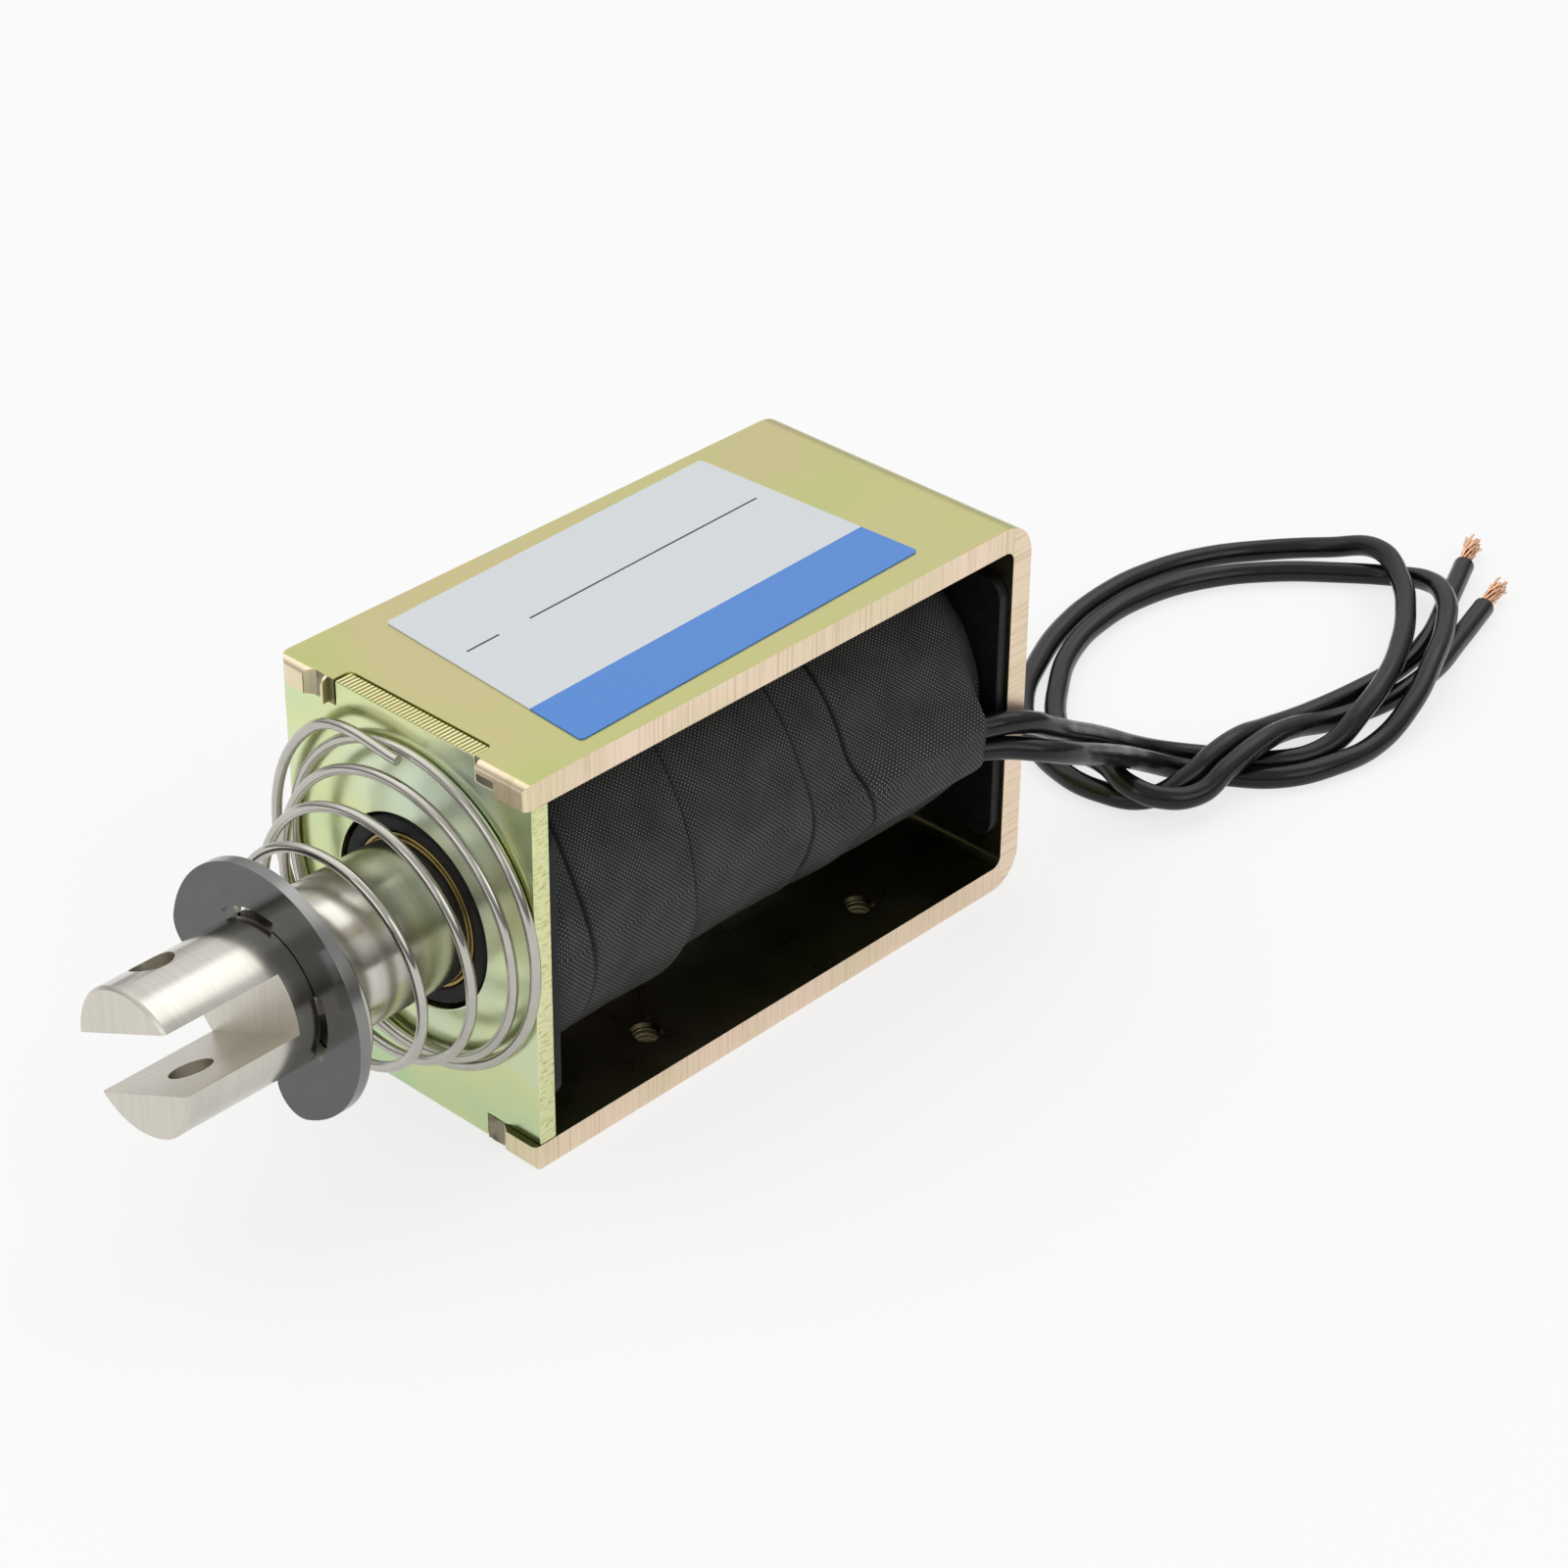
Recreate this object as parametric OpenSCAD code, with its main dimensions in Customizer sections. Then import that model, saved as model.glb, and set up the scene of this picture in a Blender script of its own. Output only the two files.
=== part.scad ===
// Push pull solenoid: a bent steel yoke and a staked front plate hold a taped
// coil. A nickelled plunger with a clevis slides in a brass guide tube against
// a conical return spring, and a push rod reaches out through the rear pole.
// Axes: origin at the centre of the four base holes, on the bottom face.
// +Z is up, the plunger points along -Y, and two leads leave towards +Y.

/* [Frame] */
// Length of the frame along the plunger's axis
frame_l = 64.4; // [60.4:0.5:72.4]
// Width of the frame
frame_w = 31; // [30:0.5:33]
// Height of the frame
frame_h = 39.6; // [38.6:0.2:44]
// Thickness of the yoke's sheet
sheet_t = 2.5; // [2:0.1:3]
// Outer radius of the yoke's two bends
bend_r = 3.6; // [3.2:0.1:5]
// Distance from the frame's front edge to the base holes' centre
hole_setback = 33.2; // [30:0.1:36]
// Spacing of the base holes across the frame
hole_dx = 20.5; // [16:0.5:22]
// Spacing of the base holes along the frame
hole_dy = 28.5; // [20:0.5:32]
// Wall radius of the threaded base holes
hole_r = 1.25; // [1:0.05:1.65]

/* [Front plate] */
// Thickness of the front plate
plate_t = 1.9; // [1.5:0.1:2.2]
// How far the plate's face sits behind the yoke's edge
plate_set = 0.7; // [0.4:0.1:0.9]
// Width of the staked tabs
tab_w = 17.4; // [12:0.2:20]
// Radius of the hole for the bobbin's neck
plate_hole_r = 9.35; // [9.2:0.05:9.8]

/* [Coil] */
// How far the taped coil stays inside the frame's width
coil_inset = 0.6; // [0.5:0.1:1.1]
// Height of the bobbin's flanges
flange_h = 28.2; // [26:0.2:32]
// Thickness of the bobbin's flanges
flange_t = 1.2; // [0.8:0.1:1.6]
// Length of the fixed pole inside the coil
pole_l = 14; // [10:0.5:18]

/* [Plunger] */
// Diameter of the plunger
plunger_d = 14; // [13.4:0.1:14]
// Distance from the frame's front edge to the plunger's tip
tip_reach = 30.3; // [28:0.1:34]
// Working stroke
stroke = 10; // [6:0.5:10]
// Turn of the plunger about its own axis
plunger_roll = 25; // [0:1:25]
// Width of the clevis slot
slot_w = 5.5; // [4.5:0.1:6]
// Depth of the clevis slot
slot_depth = 12; // [10:0.5:12.5]
// Radius of the clevis cross hole
pin_r = 2; // [1.5:0.1:2.4]
// Distance from the tip to the cross hole
pin_back = 5; // [4:0.1:6.5]
// Outer radius of the retaining ring
ring_r = 12; // [11:0.1:13]

/* [Spring] */
// Diameter of the spring's wire
wire_d = 1; // [0.8:0.1:1.2]
// Radius of the spring's large end
spring_big_r = 16.9; // [15:0.1:17]
// Radius of the spring's small end
spring_small_r = 9; // [8.4:0.1:9.4]

/* [Leads] */
// Diameter of each lead
lead_d = 2.3; // [1.8:0.1:2.3]
// Length of the bared copper ends
bare_l = 6; // [4:0.5:7]

/* [Label] */
// Width of the label across the frame
label_w = 26.2; // [20:0.2:27]
// Length of the label along the frame
label_l = 43.8; // [30:0.2:45]
// Distance from the frame's front edge to the label
label_back = 8.4; // [7:0.1:12]

/* [Hidden] */
$fn = 64;
e = 0.01;
// Heights and stations along the axis, all from the frame's own sizes
axis_z = frame_h / 2;
front_y = -hole_setback;
rear_y = front_y + frame_l;
plate_y = front_y + plate_set;
flange_y = plate_y + plate_t;
rear_wall_y = rear_y - sheet_t;
half_w = frame_w / 2;
bend_in = bend_r - sheet_t;
// Radius of the sheet's front edge, rolled over by the shear
roll_r = 0.8;
// Coil, from the tube outwards
coil_r = half_w - coil_inset;
bore_gap = 0.08;
tube_in_r = plunger_d / 2 + bore_gap;
tube_out_r = tube_in_r + 0.3;
barrel_r = tube_out_r + 0.97;
neck_r = plate_hole_r - 0.25;
winding_r = coil_r - 1.7;
wind_y0 = flange_y + flange_t;
wind_y1 = rear_wall_y - flange_t;
flange_w = frame_w - 0.8;
wind_l = wind_y1 - wind_y0;
// Ends of the tape's first three laps, as shares of the winding's length
lap_ends = [0.264, 0.58, 0.826];
lap_t = 0.2;
// Fixed pole and rod
rod_r = 1.9;
rod_bore_r = rod_r + 0.1;
seat_r = 4.2;
nose_l = 4;
pole_y0 = rear_wall_y - pole_l;
spigot_r = 5;
washer_t = 0.5;
seat_y = pole_y0 + nose_l;
// Plunger and ring
plunger_r = plunger_d / 2;
tip_y = front_y - tip_reach;
groove_y = tip_y + slot_depth + 2.2;
groove_w = 1.36;
groove_r = 5;
ring_t = 1.2;
ring_gap = 0.06;
// Ring outline: turn of its mouth, half angle of the mouth, ends of a relief
ring_turn = -130;
mouth_half = 62;
relief_ends = [100, 152];
nose_gap = 0.3;
nose_y = seat_y - washer_t - stroke - nose_gap;
// How deep the push rod is pressed into the plunger
rod_seat = 6;
pin_y = tip_y + pin_back;
// Spring
wire_r = wire_d / 2;
spring_y0 = plate_y - wire_r - 0.02;
spring_y1 = groove_y + ring_gap + ring_t + wire_r + 0.02;
spring_turns = 5;
spring_steps = 120;
spring_start = 88;
// The loose tip is tucked in by this much, over this share of the wire
tuck = 2.6;
tuck_share = 0.022;
// The large end sits off the axis by this much, across and up
spring_shift = [0.35, 2.2];
// Leads
lead_r = lead_d / 2;
sleeve_l = 11;
// The tape's hump over the joints: its end, radius and depth in the coil
wrap_back = 6.9;
wrap_r = 6.4;
wrap_in = 4.4;
wrap_y1 = rear_y - wrap_back;
wrap_x = coil_r - wrap_in;

// Lead routes, from the coil's wrap down to the bench and round one loop.
// The last height is the lead's own radius, so it lies on the bench.
lo = lead_r;
hi = 3.55;
sleeve_x = coil_r + 0.6;
out = half_w;
// Heights of the two leads where they leave the hump
lead_pitch = 2.4;
sleeve_za = 19.9;
sleeve_zb = sleeve_za - lead_pitch;
route_a = [
    [sleeve_x, wrap_y1, sleeve_za], [out + 1, rear_y - 3.9, 19.6],
    [out + 1.5, rear_y - 0.8, 18.5], [out + 1.3, rear_y + 2.8, 16.2],
    [15.6, 38.4, 13.3], [14.4, 42.8, 10.5],
    [13.5, 47.4, 7.5], [13.2, 52, 4.5], [14, 56.4, 2.2], [16.8, 60.2, lo],
    [21.5, 63.5, lo], [24.2, 69.2, 1.4], [24.1, 75.6, 3.2], [22.4, 81.8, 3.6],
    [19.6, 88, hi], [16, 94, hi], [11.2, 99.6, 3.6], [5.6, 103, 3.7],
    [-0.4, 102.3, 1.8], [-5.6, 98, lo], [-9.4, 92, lo], [-11.6, 85, lo],
    [-12, 77.6, lo], [-10.8, 70, lo], [-8, 62.4, lo], [-4.1, 55.4, lo],
    [1.2, 50.4, lo], [7, 47.6, lo], [12.6, 47.3, lo], [17, 49.4, 1.3],
    [19, 53.2, 2.8], [19.1, 57, 3.8], [18.8, 61.6, 3.7], [18.3, 67, 2.2],
    [18.6, 73.4, lo], [19.6, 80, lo], [20, 87, lo], [18.8, 94.4, lo],
    [15.8, 102, lo], [12.2, 110.4, lo]
];
route_b = [
    [sleeve_x, wrap_y1, sleeve_zb], [out + 1.4, rear_y - 3.8, 17],
    [out + 3.1, rear_y - 0.8, 16.1], [out + 3.6, rear_y + 2.8, 14.4],
    [18.2, 38.4, 11.9], [17, 42.8, 9.3], [15.9, 47.2, 6.6],
    [15.5, 51.4, 4], [16.5, 55.2, 1.9], [19.7, 58.3, lo], [24.1, 62, lo],
    [26.5, 67.6, lo], [27.2, 74, lo], [26.4, 80.6, 2.4], [24, 87.6, hi],
    [20.8, 94.4, 3.7], [17.2, 99.4, 3.8], [13, 102.4, 2.8],
    [8.2, 102.8, 1.4], [3.6, 99.9, lo], [-2, 94.8, lo], [-6.4, 88.4, lo],
    [-8.7, 81, lo], [-8.7, 73.4, lo], [-6.8, 66.2, lo], [-3, 59.6, lo],
    [1, 54.6, lo], [5.4, 51.2, 1.6], [9.2, 49.6, 2.9], [12.8, 48.2, 3.8],
    [16.4, 47.1, 3.6], [19.4, 48.4, 2.9], [21.4, 51.8, 2.6], [21.5, 56.4, 3.6],
    [21.2, 61.6, 3.9], [20.7, 67.6, 2.9], [21.3, 74.6, lo], [23, 82, lo],
    [22.8, 89.6, lo], [21, 97, lo], [19, 104.4, lo]
];

// Node to draw, or "all"

// ---- helpers ----

// Cylinder along +Y whose first face is at y
module rod_y(r, y0, y1, x = 0, z = axis_z) {
    translate([x, y0, z]) rotate([-90, 0, 0]) cylinder(r = r, h = y1 - y0);
}

// Solid of revolution about the plunger's axis: points are [radius, y]
module turned(points) {
    translate([0, 0, axis_z]) rotate([90, 0, 0]) mirror([0, 0, 1])
        rotate_extrude() polygon(points);
}

// Flat shape in X and Z, drawn as seen from the front, from y0 to y1
module slab_y(y0, y1) {
    translate([0, y1, 0]) rotate([90, 0, 0]) linear_extrude(y1 - y0) children();
}

// Rectangle centred on x = 0 with rounded corners
module round_rect(w, h, r) {
    square([w - 2 * r, h], center = true);
    square([w, h - 2 * r], center = true);
    for (sx = [-1, 1], sz = [-1, 1])
        translate([sx * (w / 2 - r), sz * (h / 2 - r)]) circle(r);
}

// Wire or lead swept round a list of ring centres
function unit(v) = v / norm(v);
function heading(p, i) =
    unit(p[min(i + 1, len(p) - 1)] - p[max(i - 1, 0)]);
function side_of(t) = unit(cross(t, abs(t[2]) > 0.9 ? [0, 1, 0] : [0, 0, 1]));
function ring_at(c, t, r, n) =
    let (u = side_of(t), v = cross(u, t))
    [for (k = [0 : n - 1]) c + r * (cos(360 * k / n) * u + sin(360 * k / n) * v)];
module swept(path, r, n, t0) {
    m = len(path);
    rings = [for (i = [0 : m - 1])
        each ring_at(path[i], i == 0 ? t0 : heading(path, i), r, n)];
    sides = [for (i = [0 : m - 2], k = [0 : n - 1])
        let (a = i * n + k, b = i * n + (k + 1) % n)
        each [[a, b, b + n], [a, b + n, a + n]]];
    first = [for (k = [n - 1 : -1 : 0]) k];
    last = [for (k = [0 : n - 1]) (m - 1) * n + k];
    polyhedron(points = rings, faces = concat([first], sides, [last]),
        convexity = 10);
}

// ---- frame ----

// Notch for a staked tab, with rounded inner corners and eased mouth edges
module tab_notch() {
    w = tab_w + 0.3;
    d = plate_set + plate_t + 0.1;
    r = 0.6;
    translate([-w / 2, -1]) square([w, d - r + 1]);
    translate([r - w / 2, -1]) square([w - 2 * r, d + 1]);
    for (s = [-1, 1]) {
        translate([s * (w / 2 - r), d - r]) circle(r, $fn = 32);
        translate([s * (w / 2 + 0.2), 0]) square([0.9, 1.4], center = true);
    }
}

// Punch mark beside a tab, pressed into the yoke's front edge at x from z0 to z1
module stake_mark(x, z0, z1) {
    translate([x, front_y, z0]) linear_extrude(z1 - z0)
        mirror([x > 0 ? 1 : 0, 0]) polygon(
            [[-1.2, -1], [-1.2, 0.1], [-0.2, 0.75], [1.1, 0.65], [1.1, -1]]);
}

// One of the yoke's two arms, seen from the side, its front edge rolled over
module arm_side() {
    translate([front_y + roll_r, 0]) square([frame_l - bend_r - roll_r, sheet_t]);
    translate([front_y, roll_r]) square([2 * roll_r, sheet_t - roll_r]);
    translate([front_y + roll_r, roll_r]) circle(roll_r);
}

module yoke_side() {
    r = bend_r;
    difference() {
        union() {
            arm_side();
            translate([0, frame_h]) mirror([0, 1]) arm_side();
            translate([rear_wall_y, r]) square([sheet_t, frame_h - 2 * r]);
            translate([rear_y - r, r]) circle(r);
            translate([rear_y - r, frame_h - r]) circle(r);
        }
        translate([rear_y - r, r]) circle(bend_in);
        translate([rear_y - r, frame_h - r]) circle(bend_in);
        translate([front_y - 1, sheet_t]) square([rear_wall_y - bend_in - front_y + 1,
            frame_h - 2 * sheet_t]);
        translate([front_y, sheet_t + bend_in])
            square([rear_wall_y - front_y, frame_h - 2 * (sheet_t + bend_in)]);
    }
}

module yoke() {
    color([0.78, 0.76, 0.5])
    difference() {
        translate([-half_w, 0, 0]) rotate([90, 0, 90])
            linear_extrude(frame_w) yoke_side();
        for (z = [-e, frame_h - sheet_t - 1])
            translate([0, front_y, z]) linear_extrude(sheet_t + 1 + e) tab_notch();
        stake_mark(-tab_w / 2 - 2.2, frame_h - sheet_t - 1, frame_h + 1);
        stake_mark(tab_w / 2 + 1.9, frame_h - sheet_t - 1, frame_h - 1.1);
        for (s = [-1, 1]) {
            stake_mark(s * (tab_w / 2 + 1.9), -1, sheet_t + 1);
            // plan radius of the front corners
            translate([s * half_w, front_y, -1]) corner_cut(s, s < 0 ? 1.5 : 0.6);
        }
        rod_y(spigot_r, rear_wall_y - 1, rear_y + 1);
        for (sx = [-1, 1], sy = [-1, 1])
            translate([sx * hole_dx / 2, sy * hole_dy / 2, 0]) base_hole();
    }
}

// Removes a square corner and leaves a radius, over the frame's whole height
module corner_cut(s, r) {
    linear_extrude(frame_h + 2) difference() {
        translate([-s * r / 2, r / 2]) square([r + e, r + e], center = true);
        translate([-s * r, r]) circle(r, $fn = 32);
    }
}

// Threaded hole as its wall and its two countersinks
module base_hole() {
    lead_in = 0.3;
    translate([0, 0, -1]) cylinder(r = hole_r, h = sheet_t + 2);
    translate([0, 0, -e]) cylinder(r1 = hole_r + lead_in, r2 = hole_r, h = lead_in);
    translate([0, 0, sheet_t - lead_in + e])
        cylinder(r1 = hole_r, r2 = hole_r + lead_in, h = lead_in);
}

module front_plate() {
    color([0.75, 0.83, 0.65])
    slab_y(plate_y, flange_y) difference() {
        union() {
            translate([-half_w, sheet_t]) square([frame_w, frame_h - 2 * sheet_t]);
            translate([-tab_w / 2, 0.1]) square([tab_w, frame_h - 0.2]);
        }
        translate([0, axis_z]) circle(plate_hole_r);
    }
}

// ---- coil ----

module bobbin() {
    color([0.08, 0.08, 0.08])
    difference() {
        union() {
            for (y = [flange_y, wind_y1]) slab_y(y, y + flange_t)
                translate([0, axis_z]) round_rect(flange_w, flange_h, 2);
            rod_y(barrel_r, flange_y, rear_wall_y);
            turned([[tube_out_r, flange_y + e], [neck_r, flange_y + e],
                [neck_r, plate_y + 0.5], [neck_r - 0.3, plate_y + 0.2],
                [tube_out_r + 0.3, plate_y + 0.2], [tube_out_r, plate_y + 0.5]]);
        }
        rod_y(tube_out_r, plate_y - 1, rear_wall_y + 1);
    }
}

module guide_tube() {
    color([0.8, 0.65, 0.3])
    turned([[tube_in_r, plate_y + 0.3], [tube_out_r, plate_y + 0.3],
        [tube_out_r, rear_wall_y], [tube_in_r, rear_wall_y]]);
}

module winding() {
    color([0.72, 0.38, 0.2])
    turned([[barrel_r, wind_y0], [winding_r, wind_y0],
        [winding_r, wind_y1], [barrel_r, wind_y1]]);
}

// Cloth tape: laps that step down towards the rear
module coil_tape() {
    lap = lap_t;
    y2 = wind_y0 + wind_l * lap_ends[0];
    y3 = wind_y0 + wind_l * lap_ends[1];
    y4 = wind_y0 + wind_l * lap_ends[2];
    color([0.12, 0.12, 0.13])
    difference() {
        turned([[winding_r, wind_y0], [coil_r - 0.4, wind_y0],
            [coil_r + 0.1, wind_y0 + 1], [coil_r + 0.1, y2],
            [coil_r - lap, y2], [coil_r, y2 + 1.5], [coil_r, y3],
            [coil_r - lap, y3], [coil_r - 0.05, y3 + 1.5], [coil_r - 0.05, y4],
            [coil_r - lap - 0.05, y4], [coil_r - 0.2, wind_y1 - 1.2],
            [coil_r - 0.9, wind_y1], [winding_r, wind_y1]]);
        sleeve_bores();
    }
}

module sleeve_bores() {
    for (z = [sleeve_za, sleeve_zb])
        rod_y(lead_r, wrap_y1 - sleeve_l, wind_y1 + 1, sleeve_x, z);
}

// Turns of tape bound over the two spliced leads: a low hump on the coil
module lead_wrap() {
    mid_z = (sleeve_za + sleeve_zb) / 2;
    slope = 3;
    color([0.13, 0.13, 0.14])
    difference() {
        translate([wrap_x, wrap_y1, mid_z]) rotate([90, 0, 0]) {
            cylinder(r = wrap_r, h = sleeve_l + 0.6);
            translate([0, 0, sleeve_l + 0.6])
                cylinder(r1 = wrap_r, r2 = wrap_r - 1.8, h = slope);
        }
        rod_y(coil_r, front_y, rear_y);
        sleeve_bores();
    }
}

// Sleeved solder joint between a magnet wire and a lead
module splice(z) {
    color([0.2, 0.2, 0.2])
    rod_y(lead_r, wrap_y1 - sleeve_l, wrap_y1, sleeve_x, z);
}

// ---- magnetic circuit and plunger ----

module pole() {
    color([0.6, 0.6, 0.6])
    turned([[rod_bore_r, seat_y], [seat_r, seat_y], [tube_in_r - 0.4, pole_y0],
        [tube_in_r, pole_y0], [tube_in_r, rear_wall_y], [spigot_r, rear_wall_y], [spigot_r, rear_y],
        [spigot_r + 0.6, rear_y], [spigot_r + 0.6, rear_y + 0.3],
        [spigot_r + 0.2, rear_y + 0.5], [rod_bore_r + 0.3, rear_y + 0.5],
        [rod_bore_r, rear_y + 0.2]]);
}

// Thin disc that keeps the plunger from sticking to the pole
module pole_washer() {
    color([0.75, 0.6, 0.25])
    turned([[rod_bore_r + 0.4, seat_y - washer_t], [seat_r, seat_y - washer_t],
        [seat_r, seat_y], [rod_bore_r + 0.4, seat_y]]);
}

// Places children about the plunger's axis, turned by its roll
module rolled() {
    translate([0, 0, axis_z]) rotate([0, -plunger_roll, 0])
        translate([0, 0, -axis_z]) children();
}

module plunger() {
    c = 0.3;
    g2 = groove_y + groove_w;
    color([0.78, 0.77, 0.74])
    rolled() difference() {
        turned([[0, tip_y], [plunger_r - c, tip_y], [plunger_r, tip_y + c],
            [plunger_r, groove_y], [groove_r, groove_y], [groove_r, g2],
            [plunger_r, g2], [plunger_r, nose_y - nose_l],
            [seat_r - 0.2, nose_y], [rod_r, nose_y], [rod_r, nose_y - rod_seat],
            [0, nose_y - rod_seat]]);
        // clevis slot and its cross hole
        translate([-plunger_r - 1, tip_y - 1, axis_z - slot_w / 2])
            cube([2 * plunger_r + 2, slot_depth + 1, slot_w]);
        translate([0, pin_y, axis_z - plunger_r - 1])
            cylinder(r = pin_r, h = 2 * plunger_r + 2);
    }
}

module push_rod() {
    color([0.7, 0.7, 0.7])
    turned([[0, nose_y - rod_seat], [rod_r, nose_y - rod_seat], [rod_r, rear_y + 0.2],
        [rod_r - 0.3, rear_y + 0.5], [0, rear_y + 0.5]]);
}

// Sector of a circle, from angle a0 to a1
module sector(r, a0, a1) {
    n = 8;
    polygon(concat([[0, 0]],
        [for (i = [0 : n]) let (a = a0 + (a1 - a0) * i / n) [r * cos(a), r * sin(a)]]));
}

// Snap-on ring: three teeth, two reliefs and a mouth with rounded arms
module ring_profile() {
    inner_r = groove_r + ring_gap;
    relief_r = groove_r + 2.9;
    arm_r = 2.7;
    arm_at = ring_r - arm_r;
    difference() {
        circle(ring_r);
        circle(inner_r);
        intersection() {
            circle(relief_r);
            union() {
                sector(ring_r, relief_ends[0], relief_ends[1]);
                sector(ring_r, -relief_ends[1], -relief_ends[0]);
            }
        }
        sector(2 * ring_r, -mouth_half, mouth_half);
    }
    for (s = [-1, 1]) rotate([0, 0, s * mouth_half]) translate([arm_at, 0]) circle(arm_r);
    for (s = [-1, 1]) rotate([0, 0, s * mouth_half]) translate([inner_r + 1.15, 0]) circle(1.1);
}

module retaining_ring() {
    y0 = groove_y + ring_gap;
    color([0.25, 0.26, 0.27])
    translate([0, 0, axis_z]) slab_y(y0, y0 + ring_t)
        rotate([0, 0, ring_turn]) ring_profile();
}

// Centre line of the conical spring, from the tip on the plate to the ring
function ease(x) = let (c = max(0, min(1, x))) c * c * (3 - 2 * c);
function spring_angle(t) = spring_start + 360 * spring_turns * t;
function spring_radius(t) =
    spring_small_r + (spring_big_r - spring_small_r) * (1 - t)
    - tuck * (1 - ease(t / tuck_share));
function spring_station(t) =
    spring_y0 - 1.05 * wire_d * (1 - ease(t / 0.12))
    + (spring_y1 - spring_y0) * pow(max(0, t - 0.24) / 0.76, 1.35);
function spring_point(t) =
    let (a = spring_angle(t), r = spring_radius(t), k = pow(1 - t, 1.6))
    [r * cos(a) + spring_shift[0] * k, spring_station(t),
        axis_z + r * sin(a) + spring_shift[1] * k];

module return_spring() {
    path = [for (i = [0 : spring_steps]) spring_point(i / spring_steps)];
    color([0.7, 0.7, 0.68])
    swept(path, wire_r, 8, heading(path, 0));
}

// ---- label and leads ----

// Sheet stuck on the top face, cut a little out of square
module label() {
    thick = 0.12;
    lean = 1.3;
    front_skew = 1.8;
    rear_skew = 1.2;
    color([0.86, 0.88, 0.9])
    translate([0.45, front_y + label_back, frame_h]) linear_extrude(thick) polygon(
        [[-label_w / 2, front_skew], [label_w / 2, 0],
        [label_w / 2 - lean, label_l], [-label_w / 2 - lean, label_l - rear_skew]]);
}

module lead(route) {
    color([0.06, 0.06, 0.06])
    swept(route, lead_r, 8, [0, 1, 0]);
}

// Bared copper end that carries on from the lead's last ring
module strands(route) {
    m = len(route);
    t = unit(route[m - 1] - route[m - 2]);
    yaw = atan2(t[1], t[0]);
    color([0.85, 0.5, 0.3])
    translate(route[m - 1]) rotate([0, 0, yaw]) rotate([0, 90, 0])
        cylinder(r1 = 0.75, r2 = 1.05, h = bare_l);
}

yoke();
front_plate();
bobbin();
guide_tube();
winding();
coil_tape();
lead_wrap();
splice(sleeve_za);  // splice_a
splice(sleeve_zb);  // splice_b
pole();
pole_washer();
plunger();
push_rod();
retaining_ring();
return_spring();
label();
lead(route_a);  // lead_a
lead(route_b);  // lead_b
strands(route_a);  // strands_a
strands(route_b);  // strands_b
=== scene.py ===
# %% [markdown]
# # Push pull solenoid
# A solenoid is a coil in a steel frame that pulls a steel plunger when current
# flows. This lesson dresses a measured model of one: the sizes are fixed by the
# frame that is loaded first, and every piece made here goes where that frame
# says. Lengths are in metres, so small sizes are written with MM.

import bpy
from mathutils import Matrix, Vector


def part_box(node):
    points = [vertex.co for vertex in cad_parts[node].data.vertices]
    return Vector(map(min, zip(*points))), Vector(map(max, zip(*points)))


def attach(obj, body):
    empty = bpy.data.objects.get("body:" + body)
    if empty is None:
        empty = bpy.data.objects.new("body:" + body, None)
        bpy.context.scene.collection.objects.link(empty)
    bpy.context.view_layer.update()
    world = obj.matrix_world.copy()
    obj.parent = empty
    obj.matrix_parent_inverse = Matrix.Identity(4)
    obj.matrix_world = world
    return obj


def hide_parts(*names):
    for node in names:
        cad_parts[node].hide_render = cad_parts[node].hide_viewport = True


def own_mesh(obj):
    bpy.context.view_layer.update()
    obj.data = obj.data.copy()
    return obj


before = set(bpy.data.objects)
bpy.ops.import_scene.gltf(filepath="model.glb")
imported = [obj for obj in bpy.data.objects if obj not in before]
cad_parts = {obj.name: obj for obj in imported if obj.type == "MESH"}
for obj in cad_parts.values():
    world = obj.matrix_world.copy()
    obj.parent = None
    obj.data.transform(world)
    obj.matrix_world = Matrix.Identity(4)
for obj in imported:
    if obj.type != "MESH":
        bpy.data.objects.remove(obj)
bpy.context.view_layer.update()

# %% Blender's own modules and the one unit of this file
import math

import bmesh
import bpy
from mathutils import Matrix, Vector, noise

MM = 0.001
scene = bpy.context.scene
scene.view_settings.view_transform = "Standard"


def add_object(name, data):
    """Puts a mesh, curve, camera or light into the scene, at the origin."""
    obj = bpy.data.objects.new(name, data)
    scene.collection.objects.link(obj)
    return obj


# %% [markdown]
# ## Camera
# A long lens a third of a metre away shows the frame's open side, its front
# plate and its top at once. The camera's own axes are worked out from a compass
# angle, a height angle and a slight roll, which is easier to reason about than
# three Euler angles.

# %% Camera
CAMERA_AT = Vector((222.269, -225.418, 219.371)) * MM
AZIMUTH, ELEVATION, ROLL = (math.radians(a) for a in (42.781, 32.453, 0.668))

back = Vector((math.sin(AZIMUTH) * math.cos(ELEVATION),
               -math.cos(AZIMUTH) * math.cos(ELEVATION), math.sin(ELEVATION)))
level_right = (-back).cross(Vector((0, 0, 1))).normalized()
level_up = level_right.cross(-back)
right = math.cos(ROLL) * level_right + math.sin(ROLL) * level_up
up = -math.sin(ROLL) * level_right + math.cos(ROLL) * level_up

camera_data = bpy.data.cameras.new("camera")
camera_data.lens = 93.71
camera_data.sensor_width = 36.0
camera_data.clip_start = 0.01
camera = add_object("camera", camera_data)
turn = Matrix((right, up, back)).transposed()
camera.matrix_world = Matrix.Translation(CAMERA_AT) @ turn.to_4x4()
scene.camera = camera
print("camera at", [round(v, 4) for v in CAMERA_AT])

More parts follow.
